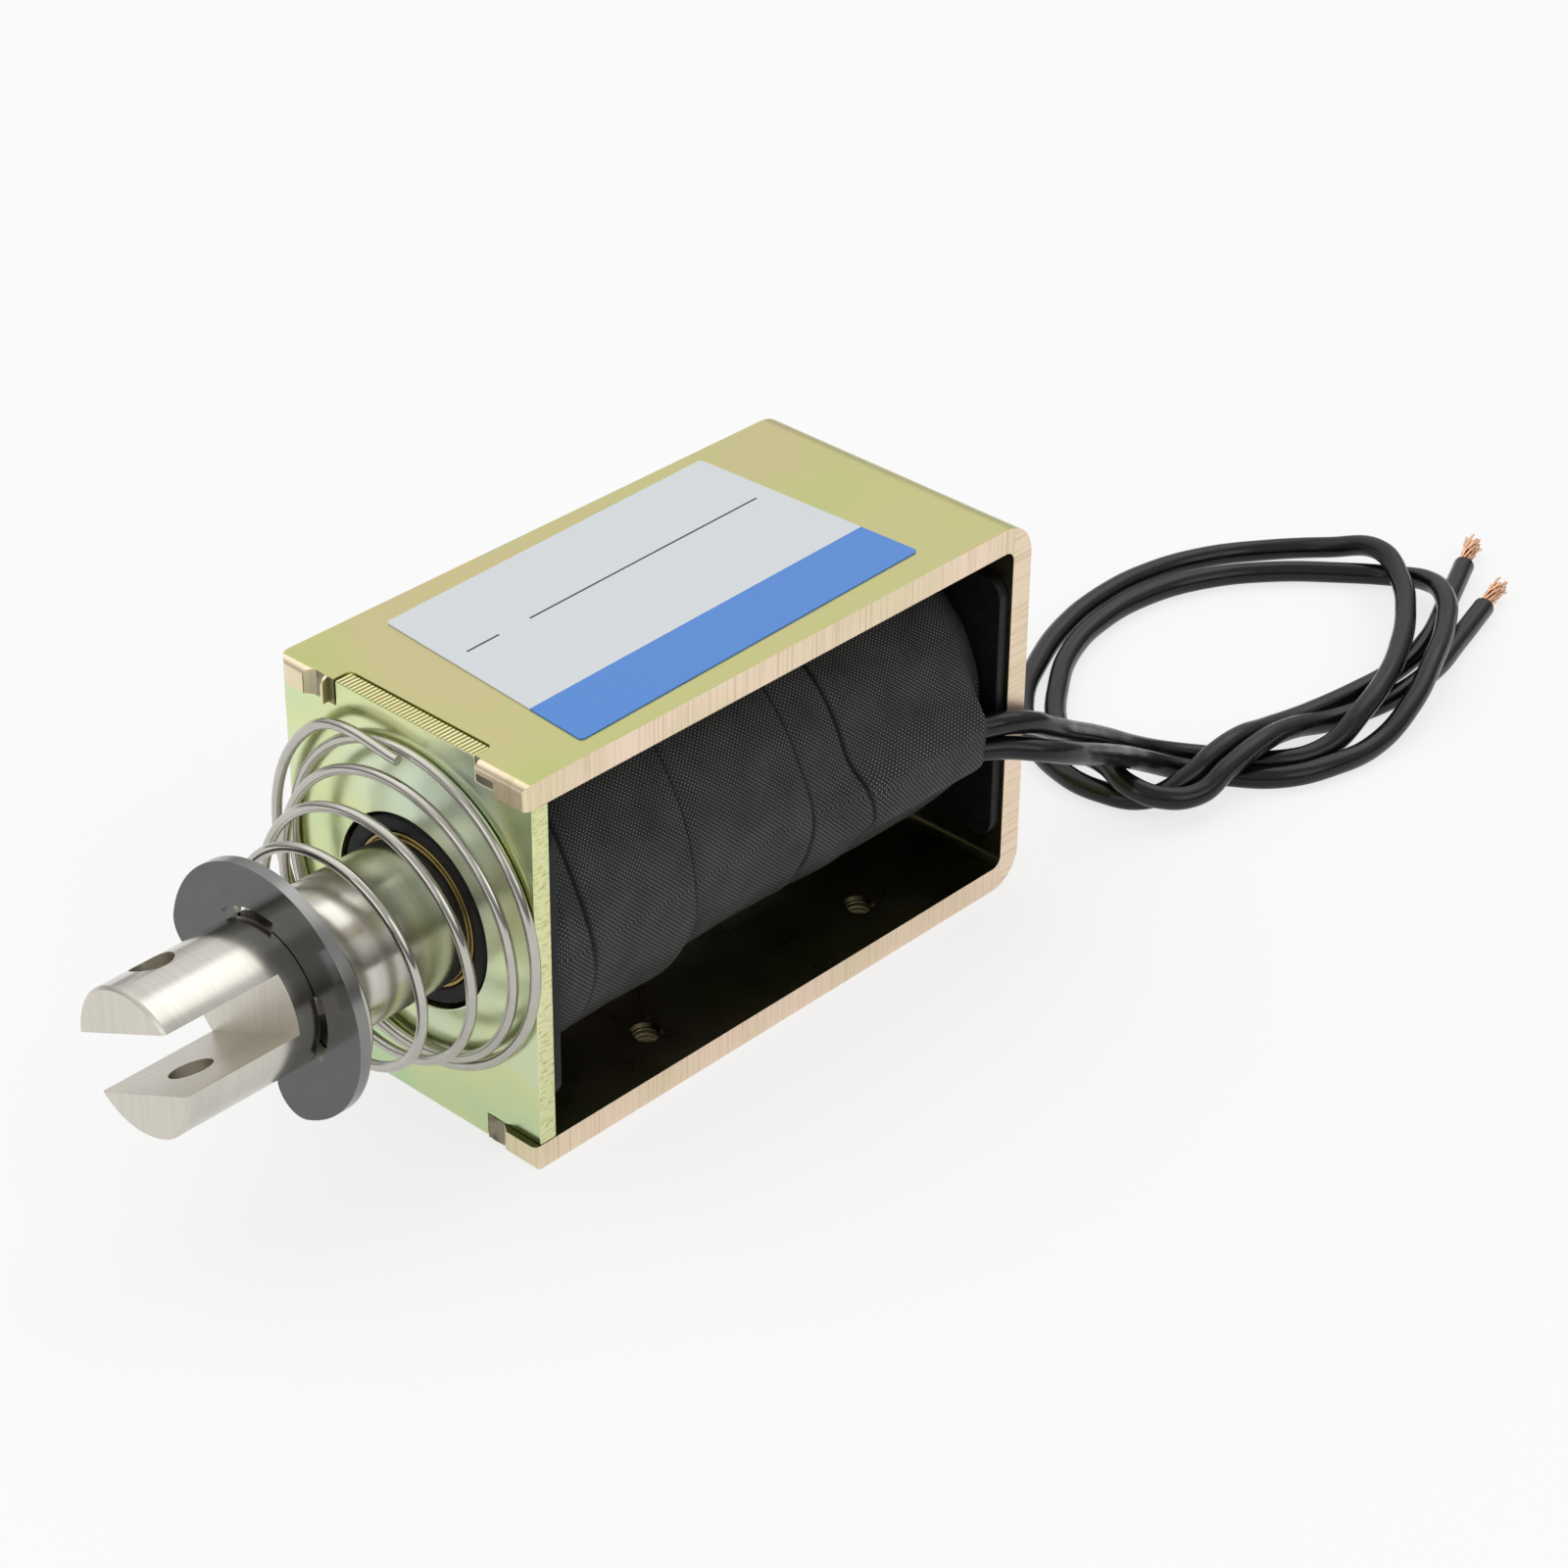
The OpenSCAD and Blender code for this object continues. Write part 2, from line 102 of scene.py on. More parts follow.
# %% [markdown]
# ## Helpers for materials
# Every finish here is a node tree that reads Object coordinates, and the cloth
# and the label film read their own UV maps too. The objects all sit at the
# origin, so Object coordinates are real metres, and a noise scale of 400 means
# features of about 2.5 mm. Values that are the same all over the surface are
# set on the shader itself, which keeps the tree short.

# %% Nodes and links
def feed(tree, socket, value):
    """Links an output into an input, or sets the input to a plain value."""
    if isinstance(value, bpy.types.NodeSocket):
        tree.links.new(value, socket)
    else:
        socket.default_value = value


def add_node(tree, kind, values=(), **settings):
    """Adds a node. values are its inputs, settings its other properties."""
    made = tree.nodes.new(kind)
    for key, value in settings.items():
        setattr(made, key, value)
    for key, value in dict(values).items():
        feed(tree, made.inputs[key], value)
    return made


# %% A material and its shader
def node(mat, kind, values=(), **settings):
    """Adds a node to a material."""
    return add_node(mat.node_tree, kind, values, **settings)


def into_shader(mat, **inputs):
    """Feeds the shader's inputs. A space in a name is written as _ here."""
    shader = mat.node_tree.nodes["Principled BSDF"]
    for key, value in inputs.items():
        feed(mat.node_tree, shader.inputs[key.replace("_", " ")], value)


def new_material(name, colour, metallic=0.0, roughness=0.5, **inputs):
    """A node material of one colour. inputs are more of its shader's own."""
    mat = bpy.data.materials.new(name)
    mat.use_nodes = True
    into_shader(mat, Base_Color=(*colour, 1.0), Metallic=metallic,
                Roughness=roughness, **inputs)
    mat.diffuse_color = (*colour, 1.0)
    print("finish:", name)
    return mat


# %% Coordinates, noise and arithmetic
def place(mat, scale=(1, 1, 1), source="Object"):
    """Coordinates in metres, stretched by scale."""
    coord = node(mat, "ShaderNodeTexCoord")
    return node(mat, "ShaderNodeMapping", {"Vector": coord.outputs[source],
                                           "Scale": scale}).outputs[0]


def noise_from(mat, at, scale, detail=3.0, distort=0.0):
    return node(mat, "ShaderNodeTexNoise",
                {"Vector": at, "Scale": scale, "Detail": detail,
                 "Distortion": distort}).outputs["Fac"]


def maths(mat, operation, *values):
    """One sum on sockets or numbers."""
    return node(mat, "ShaderNodeMath", enumerate(values),
                operation=operation).outputs[0]


# %% Colour ramps, mixed colours and bumps
def ramp(mat, source, *stops):
    """Colour ramp: stops are (position, colour or grey)."""
    made = node(mat, "ShaderNodeValToRGB", {"Fac": source})
    elements = made.color_ramp.elements
    while len(elements) < len(stops):
        elements.new(0.5)
    for element, (position, value) in zip(elements, stops):
        element.position = position
        grey = isinstance(value, (int, float))
        element.color = (value,) * 3 + (1,) if grey else (*value, 1)
    return made.outputs["Color"]


def mix_colours(mat, share, first, second, **settings):
    """A Mix node takes its two colours at inputs 6 and 7."""
    return node(mat, "ShaderNodeMix", {0: share, 6: first, 7: second},
                data_type="RGBA", **settings).outputs[2]


def bump(mat, height, strength, distance):
    """Bump into the shader's normal. distance is in metres."""
    made = node(mat, "ShaderNodeBump", {"Height": height, "Strength": strength,
                                        "Distance": distance})
    into_shader(mat, Normal=made.outputs["Normal"])


# %% [markdown]
# ## Zinc plate with a yellow-green passivation
# The frame is mild steel, zinc plated and dipped so that it turns a pale
# yellow-green with faint pink and blue clouds. The clouds are a wide, soft
# noise through a colour ramp. A finer noise breaks up the gloss, as handling
# and the rolled sheet do. The inside of the frame and its threaded holes get
# the same recipe with darker tints, which paint in the shade that falls there.

# %% Zinc finishes
def zinc(name, tints, roughness):
    """tints are the cloud colours: greenest, middle and pinkest."""
    mat = new_material(name, tints[1], metallic=1.0, roughness=roughness)
    at = place(mat)
    clouds = noise_from(mat, at, 48, detail=1.5, distort=0.4)
    grain = noise_from(mat, at, 300, detail=2)
    waves = noise_from(mat, at, 110, detail=1)
    into_shader(mat, Base_Color=ramp(mat, clouds, *zip((0.32, 0.5, 0.66), tints)),
                Roughness=ramp(mat, grain, (0.3, roughness - 0.04),
                               (0.7, roughness + 0.05)))
    bump(mat, waves, 0.08, 0.0004)
    return mat


zinc_top = zinc("zinc_yellow", [(0.56, 0.60, 0.23), (0.62, 0.605, 0.27),
                                (0.65, 0.58, 0.30)], 0.33)
zinc_plate = zinc("zinc_green", [(0.60, 0.77, 0.47), (0.74, 0.80, 0.42),
                                 (0.72, 0.83, 0.64)], 0.22)
# Darker tints: painted shade for the inside of the C and the hole walls.
zinc_inside_painted_shade = zinc("zinc_inside_painted_shade", [(0.16, 0.17, 0.07), (0.20, 0.19, 0.09),
                                   (0.24, 0.19, 0.12)], 0.3)
thread_shade = zinc("zinc_thread_painted_shade", [(0.03, 0.027, 0.012), (0.05, 0.042, 0.02),
                                    (0.08, 0.065, 0.035)], 0.34)

# %% [markdown]
# ## Sheared edges
# Where a press has cut the sheet, the edge shows fine lines across its
# thickness and the plating looks pinker. The lines are a noise that changes
# fast along the cut and hardly at all across the sheet. The yoke is bent, so
# the cut turns a corner: the long arms read the lines along Y, the rear wall
# reads them along Z, and a mask swaps the two at the bend. The dents of the
# staking tool have the same recipe with no direction, painted darker as the
# shade in each dent.

# %% Sheared edge finish
REAR_WALL_AT = 28.7 * MM


def sheared(name, colour, dark, along, rough, strength, beyond=None):
    """along stretches the line noise. beyond is a second stretch that takes
    over behind the rear wall's inner face."""
    mat = new_material(name, colour, metallic=1.0, roughness=rough)
    lines = noise_from(mat, place(mat, along), 1.0, detail=2)
    if beyond:
        across = noise_from(mat, place(mat, beyond), 1.0, detail=2)
        here = node(mat, "ShaderNodeSeparateXYZ", {"Vector": place(mat)})
        behind = maths(mat, "GREATER_THAN", here.outputs["Y"], REAR_WALL_AT)
        lines = node(mat, "ShaderNodeMix", {0: behind, 2: lines, 3: across},
                     data_type="FLOAT").outputs[0]
    tint = ramp(mat, lines, (0.30, dark), (0.52, colour))
    blotch = noise_from(mat, place(mat), 110, detail=2)
    soft = ramp(mat, blotch, (0.35, (0.9, 0.95, 0.84)), (0.6, (1, 1, 1)))
    into_shader(mat, Base_Color=mix_colours(mat, 1.0, tint, soft,
                                            blend_type="MULTIPLY"))
    bump(mat, lines, strength, 0.00008)
    return mat


edge_side = sheared("cut_edge", (0.95, 0.77, 0.61), (0.80, 0.61, 0.46),
                    (60, 3600, 60), 0.42, 0.2, beyond=(60, 60, 3600))
edge_front = sheared("cut_edge_front", (0.95, 0.80, 0.62), (0.80, 0.65, 0.46),
                     (1200, 60, 60), 0.4, 0.1)
edge_plate = sheared("cut_edge_plate", (0.86, 0.84, 0.52), (0.60, 0.58, 0.28),
                     (200, 1000, 3200), 0.36, 0.35)
# The dents' darker colours are painted shade.
dent_painted_shade = sheared("stake_dent_painted_shade", (0.36, 0.31, 0.26), (0.20, 0.16, 0.12),
                     (900, 900, 900), 0.45, 0.2)

# %% [markdown]
# ## Ridged tabs
# The staking tool leaves fine, even grooves across the top of each tab. They
# follow a rule, so a wave texture makes them: its period is 2 pi / (20 x scale).
# The same wave paints shade into the grooves and light onto the crests.

# %% Ridged tab finish
TAB_PITCH = 0.46 * MM


def wave_from(mat, axis, scale, distort, detail_scale=1.0):
    """Even ridges that follow one another along an axis."""
    return node(mat, "ShaderNodeTexWave",
                {"Vector": place(mat), "Scale": scale, "Distortion": distort,
                 "Detail Scale": detail_scale}, bands_direction=axis).outputs["Fac"]


tab_top = new_material("staked_tab", (0.66, 0.63, 0.30), metallic=1.0,
                       roughness=0.34)
grooves = wave_from(tab_top, "X", 2 * math.pi / (20 * TAB_PITCH), 0.5, 0.6)
# Darker in the grooves and lighter on the crests: painted shade and light.
into_shader(tab_top, Base_Color=ramp(tab_top, grooves, (0.15, (0.44, 0.42, 0.17)),
                                     (0.6, (0.74, 0.70, 0.36))))
bump(tab_top, grooves, 0.7, 0.0001)
print("tab grooves every", round(TAB_PITCH / MM, 2), "mm")

# %% [markdown]
# ## Plain metals
# The plunger is nickel plated over turning marks, the ring is dark oiled spring
# steel, and the spring is bright drawn wire. They share one recipe: a metal
# colour, a stretched noise for the tool marks, and a blotchy roughness.

# %% Plain metal finishes
GLOSS_SPREAD = 0.06


def tooled_metal(name, colour, roughness, marks, depth, blotch=90):
    """marks stretches the tool-mark noise: large numbers cross the marks."""
    mat = new_material(name, colour, metallic=1.0, roughness=roughness)
    lines = noise_from(mat, place(mat, marks), 1.0)
    patches = noise_from(mat, place(mat), blotch)
    worn_dark = tuple(c * 0.88 for c in colour)
    into_shader(mat, Base_Color=ramp(mat, lines, (0.25, worn_dark), (0.75, colour)),
                Roughness=ramp(mat, patches, (0.3, roughness - GLOSS_SPREAD),
                               (0.7, roughness + GLOSS_SPREAD)))
    bump(mat, lines, 0.25, depth)
    return mat


nickel = tooled_metal("nickel", (0.68, 0.65, 0.59), 0.2, (60, 1500, 60),
                      0.000005)
nickel_cut = tooled_metal("nickel_milled", (0.72, 0.68, 0.60), 0.36,
                          (1900, 260, 60), 0.00002)
dark_ring = tooled_metal("dark_ring_steel", (0.13, 0.134, 0.134), 0.17,
                         (700, 700, 700), 0.00001)
# The rim is lighter than the faces: a painted highlight.
rim_painted_highlight = tooled_metal("ring_rim_painted_highlight", (0.27, 0.27, 0.26), 0.26,
                         (200, 2600, 200), 0.00002)
bright_wire = tooled_metal("spring_wire", (0.56, 0.54, 0.49), 0.17,
                           (500, 500, 500), 0.000008)
bright_steel = tooled_metal("bright_steel", (0.60, 0.595, 0.57), 0.27,
                            (90, 2600, 90), 0.000015)
# Darkened well below bright metal: painted shade of the bore it sits in.
brass_with_painted_shade = tooled_metal("drawn_brass_painted_shade", (0.42, 0.31, 0.11), 0.3, (900, 60, 900),
                     0.00001)
copper = tooled_metal("copper_strand", (0.90, 0.56, 0.36), 0.26,
                      (1800, 1800, 1800), 0.00001, blotch=900)

# %% [markdown]
# ## Magnet wire
# The winding is hidden by its tape, but it is there: enamelled copper wire laid
# in tight turns. A wave texture across the axis gives each turn its own ridge,
# and darkens the colour between the turns as painted shade.

# %% Magnet wire finish
magnet_wire = new_material("magnet_wire", (0.42, 0.13, 0.05), metallic=0.85,
                           roughness=0.3)
turns = wave_from(magnet_wire, "Y", 420, 0.4)
# Dark between the turns: painted shade.
into_shader(magnet_wire, Base_Color=ramp(magnet_wire, turns,
                                         (0.1, (0.16, 0.04, 0.015)),
                                         (0.6, (0.5, 0.17, 0.07))))
bump(magnet_wire, turns, 0.6, 0.00006)

# %% [markdown]
# ## Plastics
# The bobbin is moulded black nylon and the leads are soft black insulation.
# Both are nearly black, so what one sees is their gloss: a fine noise in the
# roughness and a very shallow bump keep it from looking like glass.

# %% Plastic finishes
def black_plastic(name, colour, roughness, scale, depth, shine=0.5):
    """scale and depth are those of the fine grain in the surface."""
    mat = new_material(name, colour, roughness=roughness, IOR=1.5,
                       Specular_IOR_Level=shine)
    skin = noise_from(mat, place(mat), scale, detail=4)
    paler = tuple(min(1, c * 1.6) for c in colour)
    into_shader(mat, Base_Color=ramp(mat, skin, (0.35, colour), (0.8, paler)),
                Roughness=ramp(mat, skin, (0.3, roughness - 0.06),
                               (0.7, roughness + 0.1)))
    bump(mat, skin, 0.3, depth)
    return mat


nylon = black_plastic("black_nylon", (0.006, 0.006, 0.006), 0.42, 900, 0.00002,
                      shine=0.22)
lead_skin = black_plastic("lead_insulation", (0.005, 0.005, 0.0055), 0.2, 500,
                          0.000006, shine=0.36)
sleeve_skin = black_plastic("sleeve", (0.02, 0.02, 0.02), 0.45, 1200, 0.00003)

# %% [markdown]
# ## Leads
# Two leads leave the coil, drop to the bench and make one loose loop. A free
# cord is a fixed length of something flexible, so it is made as one open curve
# through its route, with the lead's radius as its bevel. The cords come before
# the other pieces because the frame's tools measure how they lie.

# %% Lead routes, in millimetres
LEAD_R = 1.15
LO, HI = LEAD_R, 3.55
LEAD_ROUTES = {
    "lead_a": [
        (15.5, 24.3, 19.9), (16.5, 27.3, 19.6), (17, 30.4, 18.5),
        (16.8, 34, 16.2), (15.6, 38.4, 13.3), (14.4, 42.8, 10.5),
        (13.5, 47.4, 7.5), (13.2, 52, 4.5), (14, 56.4, 2.2), (16.8, 60.2, LO),
        (21.5, 63.5, LO), (24.2, 69.2, 1.4), (24.1, 75.6, 3.2),
        (22.4, 81.8, 3.6), (19.6, 88, HI), (16, 94, HI), (11.2, 99.6, 3.6),
        (5.6, 103, 3.7), (-0.4, 102.3, 1.8), (-5.6, 98, LO), (-9.4, 92, LO),
        (-11.6, 85, LO), (-12, 77.6, LO), (-10.8, 70, LO), (-8, 62.4, LO),
        (-4.1, 55.4, LO), (1.2, 50.4, LO), (7, 47.6, LO), (12.6, 47.3, LO),
        (17, 49.4, 1.3), (19, 53.2, 2.8), (19.1, 57, 3.8), (18.8, 61.6, 3.7),
        (18.3, 67, 2.2), (18.6, 73.4, LO), (19.6, 80, LO), (20, 87, LO),
        (18.8, 94.4, LO), (15.8, 102, LO), (12.2, 110.4, LO)],
    "lead_b": [
        (15.5, 24.3, 17.5), (16.9, 27.4, 17), (18.6, 30.4, 16.1),
        (19.1, 34, 14.4), (18.2, 38.4, 11.9), (17, 42.8, 9.3),
        (15.9, 47.2, 6.6), (15.5, 51.4, 4), (16.5, 55.2, 1.9),
        (19.7, 58.3, LO), (24.1, 62, LO), (26.5, 67.6, LO), (27.2, 74, LO),
        (26.4, 80.6, 2.4), (24, 87.6, HI), (20.8, 94.4, 3.7),
        (17.2, 99.4, 3.8), (13, 102.4, 2.8), (8.2, 102.8, 1.4),
        (3.6, 99.9, LO), (-2, 94.8, LO), (-6.4, 88.4, LO), (-8.7, 81, LO),
        (-8.7, 73.4, LO), (-6.8, 66.2, LO), (-3, 59.6, LO), (1, 54.6, LO),
        (5.4, 51.2, 1.6), (9.2, 49.6, 2.9), (12.8, 48.2, 3.8),
        (16.4, 47.1, 3.6), (19.4, 48.4, 2.9), (21.4, 51.8, 2.6),
        (21.5, 56.4, 3.6), (21.2, 61.6, 3.9), (20.7, 67.6, 2.9),
        (21.3, 74.6, LO), (23, 82, LO), (22.8, 89.6, LO), (21, 97, LO),
        (19, 104.4, LO)],
}

# %% Cords from their routes
def lead_curve(name, route):
    """An open curve through the route, round in section."""
    curve = bpy.data.curves.new(name + "_cord", "CURVE")
    curve.dimensions = "3D"
    curve.bevel_depth = LEAD_R * MM
    curve.bevel_resolution = 5
    curve.resolution_u = 10
    curve.use_fill_caps = True
    spline = curve.splines.new("BEZIER")
    spline.bezier_points.add(len(route) - 1)
    for point, at in zip(spline.bezier_points, route):
        point.co = Vector(at) * MM
        point.handle_left_type = point.handle_right_type = "AUTO"
    curve.materials.append(lead_skin)
    obj = add_object(name + "_cord", curve)
    length = sum((Vector(b) - Vector(a)).length for a, b in zip(route, route[1:]))
    print(name, "length", round(length, 1), "mm")
    return obj, length * MM


lead_cords = {name: lead_curve(name, route)
              for name, route in LEAD_ROUTES.items()}

# %% [markdown]
# ## Turning a measured solid into a finished piece
# The loaded solids are exact but hard edged. A real pressed or turned part has
# a small radius on every edge, which catches the light. So each rigid piece is
# a copy of its solid: doubles are merged, flat faces are joined, a bevel rounds
# the edges, and weighted normals keep the flats flat.

# %% Merged faces and marked edges
SHARP = math.radians(32)
FLAT = math.radians(1.0)
MERGE_WITHIN = 1e-6


def mark_mesh(mesh, choose, share):
    """Merges the loose triangles, gives each face its finish, and weighs the
    sharp edges for the bevel."""
    bm = bmesh.new()
    bm.from_mesh(mesh)
    bmesh.ops.remove_doubles(bm, verts=bm.verts, dist=MERGE_WITHIN)
    bmesh.ops.dissolve_limit(bm, angle_limit=FLAT, verts=bm.verts, edges=bm.edges)
    bm.normal_update()
    for face in bm.faces:
        centre = face.calc_center_median() / MM
        face.material_index = choose(centre, face.normal) if choose else 0
        face.smooth = True
    weight = bm.edges.layers.float.new("bevel_weight_edge")
    for edge in bm.edges:
        if len(edge.link_faces) == 2 and edge.calc_face_angle() > SHARP:
            middle = (edge.verts[0].co + edge.verts[1].co) / 2 / MM
            edge[weight] = share(middle) if share else 1.0
    bm.to_mesh(mesh)
    bm.free()


# %% A copy with rounded edges
def settle(obj, name):
    """Replaces an object's modifiers with the plain mesh that they make."""
    graph = bpy.context.evaluated_depsgraph_get()
    mesh = bpy.data.meshes.new_from_object(obj.evaluated_get(graph))
    obj.modifiers.clear()
    obj.data = mesh
    mesh.name = name
    return mesh


def dressed(name, radius, materials, choose=None, segments=2, body="frame",
            share=None):
    """A finished copy of a CAD node, its edges rounded to a radius in
    millimetres. choose(centre, normal) picks a material, share(middle) gives an
    edge's part of the full radius."""
    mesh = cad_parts[name].data.copy()
    mesh.name = name + "_piece"
    mesh.materials.clear()
    for material in materials:
        mesh.materials.append(material)
    mark_mesh(mesh, choose, share)
    obj = add_object(name + "_piece", mesh)
    soften = obj.modifiers.new("edge_radius", "BEVEL")
    soften.width = radius * MM
    soften.segments = segments
    soften.limit_method = "WEIGHT"
    weights = obj.modifiers.new("flat_normals", "WEIGHTED_NORMAL")
    weights.keep_sharp = True
    final = settle(obj, name + "_piece")
    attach(obj, body)
    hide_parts(name)
    print(name, "faces:", len(final.polygons))


# %% [markdown]
# ## Yoke
# One strip of sheet, bent twice into a C. Its broad outer faces keep the
# plating's clouds. The cut edges at both sides and at the front get the sheared
# finish, and the dents of the staking tool, the inside of the C and the four
# threaded holes are painted darker as shade. The place of each face, and the
# way it looks, pick its finish.

# %% Yoke sizes, in millimetres
yoke_low, yoke_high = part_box("yoke")
HALF_W = yoke_high[0] / MM
FRONT_Y = yoke_low[1] / MM
REAR_Y = yoke_high[1] / MM
TOP_Z = yoke_high[2] / MM
AXIS_Z = TOP_Z / 2
SHEET = 2.5
HOLES = [(x, y) for x in (-10.25, 10.25) for y in (-14.25, 14.25)]
HOLE_ZONE = 2.2
DENT_DEPTH = 1.2
NEAR = 0.1
print("frame", round(2 * HALF_W, 1), "wide and", round(TOP_Z, 1), "high")

# %% Yoke
SQUARE_ON = 0.9
BROAD, SIDE_CUT, FRONT_CUT, DENT, INSIDE, IN_HOLE = range(6)


def yoke_finish(centre, normal):
    """Picks the finish of a yoke face from its place and its direction."""
    if abs(normal.x) > SQUARE_ON and abs(abs(centre.x) - HALF_W) < NEAR:
        return SIDE_CUT
    if normal.y < -0.25 and centre.y < FRONT_Y + DENT_DEPTH:
        dented = centre.y > FRONT_Y + NEAR and normal.y < -0.99
        return DENT if dented else FRONT_CUT
    # Hole walls and the inside of the C take the painted shade finishes.
    at_hole = any(math.dist(centre.xy, hole) < HOLE_ZONE for hole in HOLES)
    if at_hole and centre.z < SHEET and abs(normal.z) < SQUARE_ON:
        return IN_HOLE
    inward = max(normal.z if centre.z < AXIS_Z else -normal.z, -normal.y)
    between_arms = SHEET - NEAR < centre.z < TOP_Z - SHEET + NEAR
    before_wall = centre.y < REAR_Y - SHEET + NEAR
    return INSIDE if between_arms and before_wall and inward > 0.3 else BROAD


def yoke_share(middle):
    """The shear rolls the outer long edges over more than the others."""
    outer = min(middle.z, TOP_Z - middle.z, REAR_Y - middle.y) < NEAR
    return 1.0 if outer and abs(middle.x) > HALF_W - NEAR else 0.3


dressed("yoke", 0.55, [zinc_top, edge_side, edge_front, dent_painted_shade, zinc_inside_painted_shade,
                       thread_shade],
        yoke_finish, segments=4, share=yoke_share)

# %% [markdown]
# ## Front plate
# The plate is staked into the yoke: two tabs stand in the yoke's notches, and
# their sheared ends show in the top and bottom faces.

# %% Front plate
PLATE_FACE, PLATE_EDGE, TAB_END = range(3)


def plate_finish(centre, normal):
    """The tab ends lie within 1 mm of the frame's top and bottom faces."""
    if abs(normal.z) > SQUARE_ON and abs(centre.z - AXIS_Z) > AXIS_Z - 1:
        return TAB_END
    sideways = max(abs(normal.x), abs(normal.z))
    return PLATE_EDGE if sideways > SQUARE_ON else PLATE_FACE


dressed("front_plate", 0.16, [zinc_plate, edge_plate, tab_top], plate_finish)

# %% [markdown]
# ## Bobbin, tube, pole and rod
# These are moulded or turned, so the rounded copy of the solid is already the
# right form. Only the edge radius and the finish differ.

# %% Turned and moulded pieces
dressed("bobbin", 0.15, [nylon])
dressed("guide_tube", 0.05, [brass_with_painted_shade])
dressed("pole", 0.1, [bright_steel])
dressed("push_rod", 0.08, [bright_steel], body="plunger")

# %% [markdown]
# ## Plunger and retaining ring
# The plunger's barrel is bright from turning. Its slot and end faces were
# milled after plating, so they are duller. The ring is a punched part, dark on
# its faces, and its rim is painted lighter as a highlight.

# %% Plunger and ring
PLUNGER_R = 7.0
FORK_END_Y = -49.5
TURNED, MILLED = range(2)
RING_FACE, RING_RIM = range(2)


def plunger_finish(centre, normal):
    """All is turned but the slot, flats and end faces of the fork."""
    radial = Vector((centre.x, 0, centre.z - AXIS_Z))
    on_barrel = radial.length > PLUNGER_R - NEAR and abs(normal.y) < 0.2
    return TURNED if on_barrel or centre.y > FORK_END_Y else MILLED


def ring_finish(centre, normal):
    return RING_FACE if abs(normal.y) > 0.5 else RING_RIM


dressed("plunger", 0.14, [nickel, nickel_cut], plunger_finish, segments=3,
        body="plunger")
dressed("retaining_ring", 0.16, [dark_ring, rim_painted_highlight], ring_finish, body="ring")

# %% [markdown]
# ## Geometry Nodes helpers
# A spring, a thread and a twist of strands each follow a rule, so each one is a
# small Geometry Nodes tree with its sizes as named inputs. These helpers add
# nodes and links, set a modifier's inputs by identifier, and turn the result
# into a plain mesh.

# %% A tree with named sizes
def new_tree(name, sizes):
    """An empty tree whose named inputs come from sizes: name to default."""
    tree = bpy.data.node_groups.new(name, "GeometryNodeTree")
    face = tree.interface
    face.new_socket("Geometry", in_out="INPUT", socket_type="NodeSocketGeometry")
    for key, value in sizes.items():
        kind = "NodeSocketInt" if isinstance(value, int) else "NodeSocketFloat"
        face.new_socket(key, in_out="INPUT", socket_type=kind)
    face.new_socket("Finish", in_out="INPUT", socket_type="NodeSocketMaterial")
    face.new_socket("Geometry", in_out="OUTPUT", socket_type="NodeSocketGeometry")
    return tree


# %% A smooth step
def smooth_step(tree, value, low, high, least=0.0, most=1.0):
    """Goes smoothly from least to most as value goes from low to high."""
    return add_node(tree, "ShaderNodeMapRange",
                    {"Value": value, "From Min": low, "From Max": high,
                     "To Min": least, "To Max": most},
                    interpolation_type="SMOOTHSTEP").outputs["Result"]


# %% Wiring the nodes of a tree
class Wiring:
    """Adds nodes to a tree. Numbers and sockets are both accepted as inputs."""

    def __init__(self, tree):
        self.tree = tree
        self.inputs = tree.nodes.new("NodeGroupInput")
        self.outputs = tree.nodes.new("NodeGroupOutput")

    def size(self, name):
        return self.inputs.outputs[name]

    def add(self, kind, values=(), **settings):
        return add_node(self.tree, kind, values, **settings)

    def math(self, operation, a, b=0.0, c=0.0):
        return self.add("ShaderNodeMath", enumerate((a, b, c)),
                        operation=operation).outputs[0]

    def left_of(self, value, high):
        """Falls smoothly from 1 to 0 as value goes from 0 to high."""
        done = smooth_step(self.tree, value, 0.0, high)
        return self.math("SUBTRACT", 1.0, done)

    def vector(self, x, y, z):
        return self.add("ShaderNodeCombineXYZ", enumerate((x, y, z))).outputs[0]

    def swept(self, curve, sides, radius):
        """Carries a round profile along a curve and caps both ends."""
        profile = self.add("GeometryNodeCurvePrimitiveCircle",
                           {"Resolution": sides, "Radius": radius})
        return self.add("GeometryNodeCurveToMesh",
                        {"Curve": curve.outputs[0],
                         "Profile Curve": profile.outputs[0],
                         "Fill Caps": True}).outputs[0]

    def finish(self, geometry):
        """Shades smooth, realizes the instances and sets the material."""
        smooth = self.add("GeometryNodeSetShadeSmooth", {"Geometry": geometry})
        real = self.add("GeometryNodeRealizeInstances",
                        {"Geometry": smooth.outputs[0]})
        painted = self.add("GeometryNodeSetMaterial",
                           {"Geometry": real.outputs[0],
                            "Material": self.size("Finish")})
        feed(self.tree, self.outputs.inputs[0], painted.outputs[0])


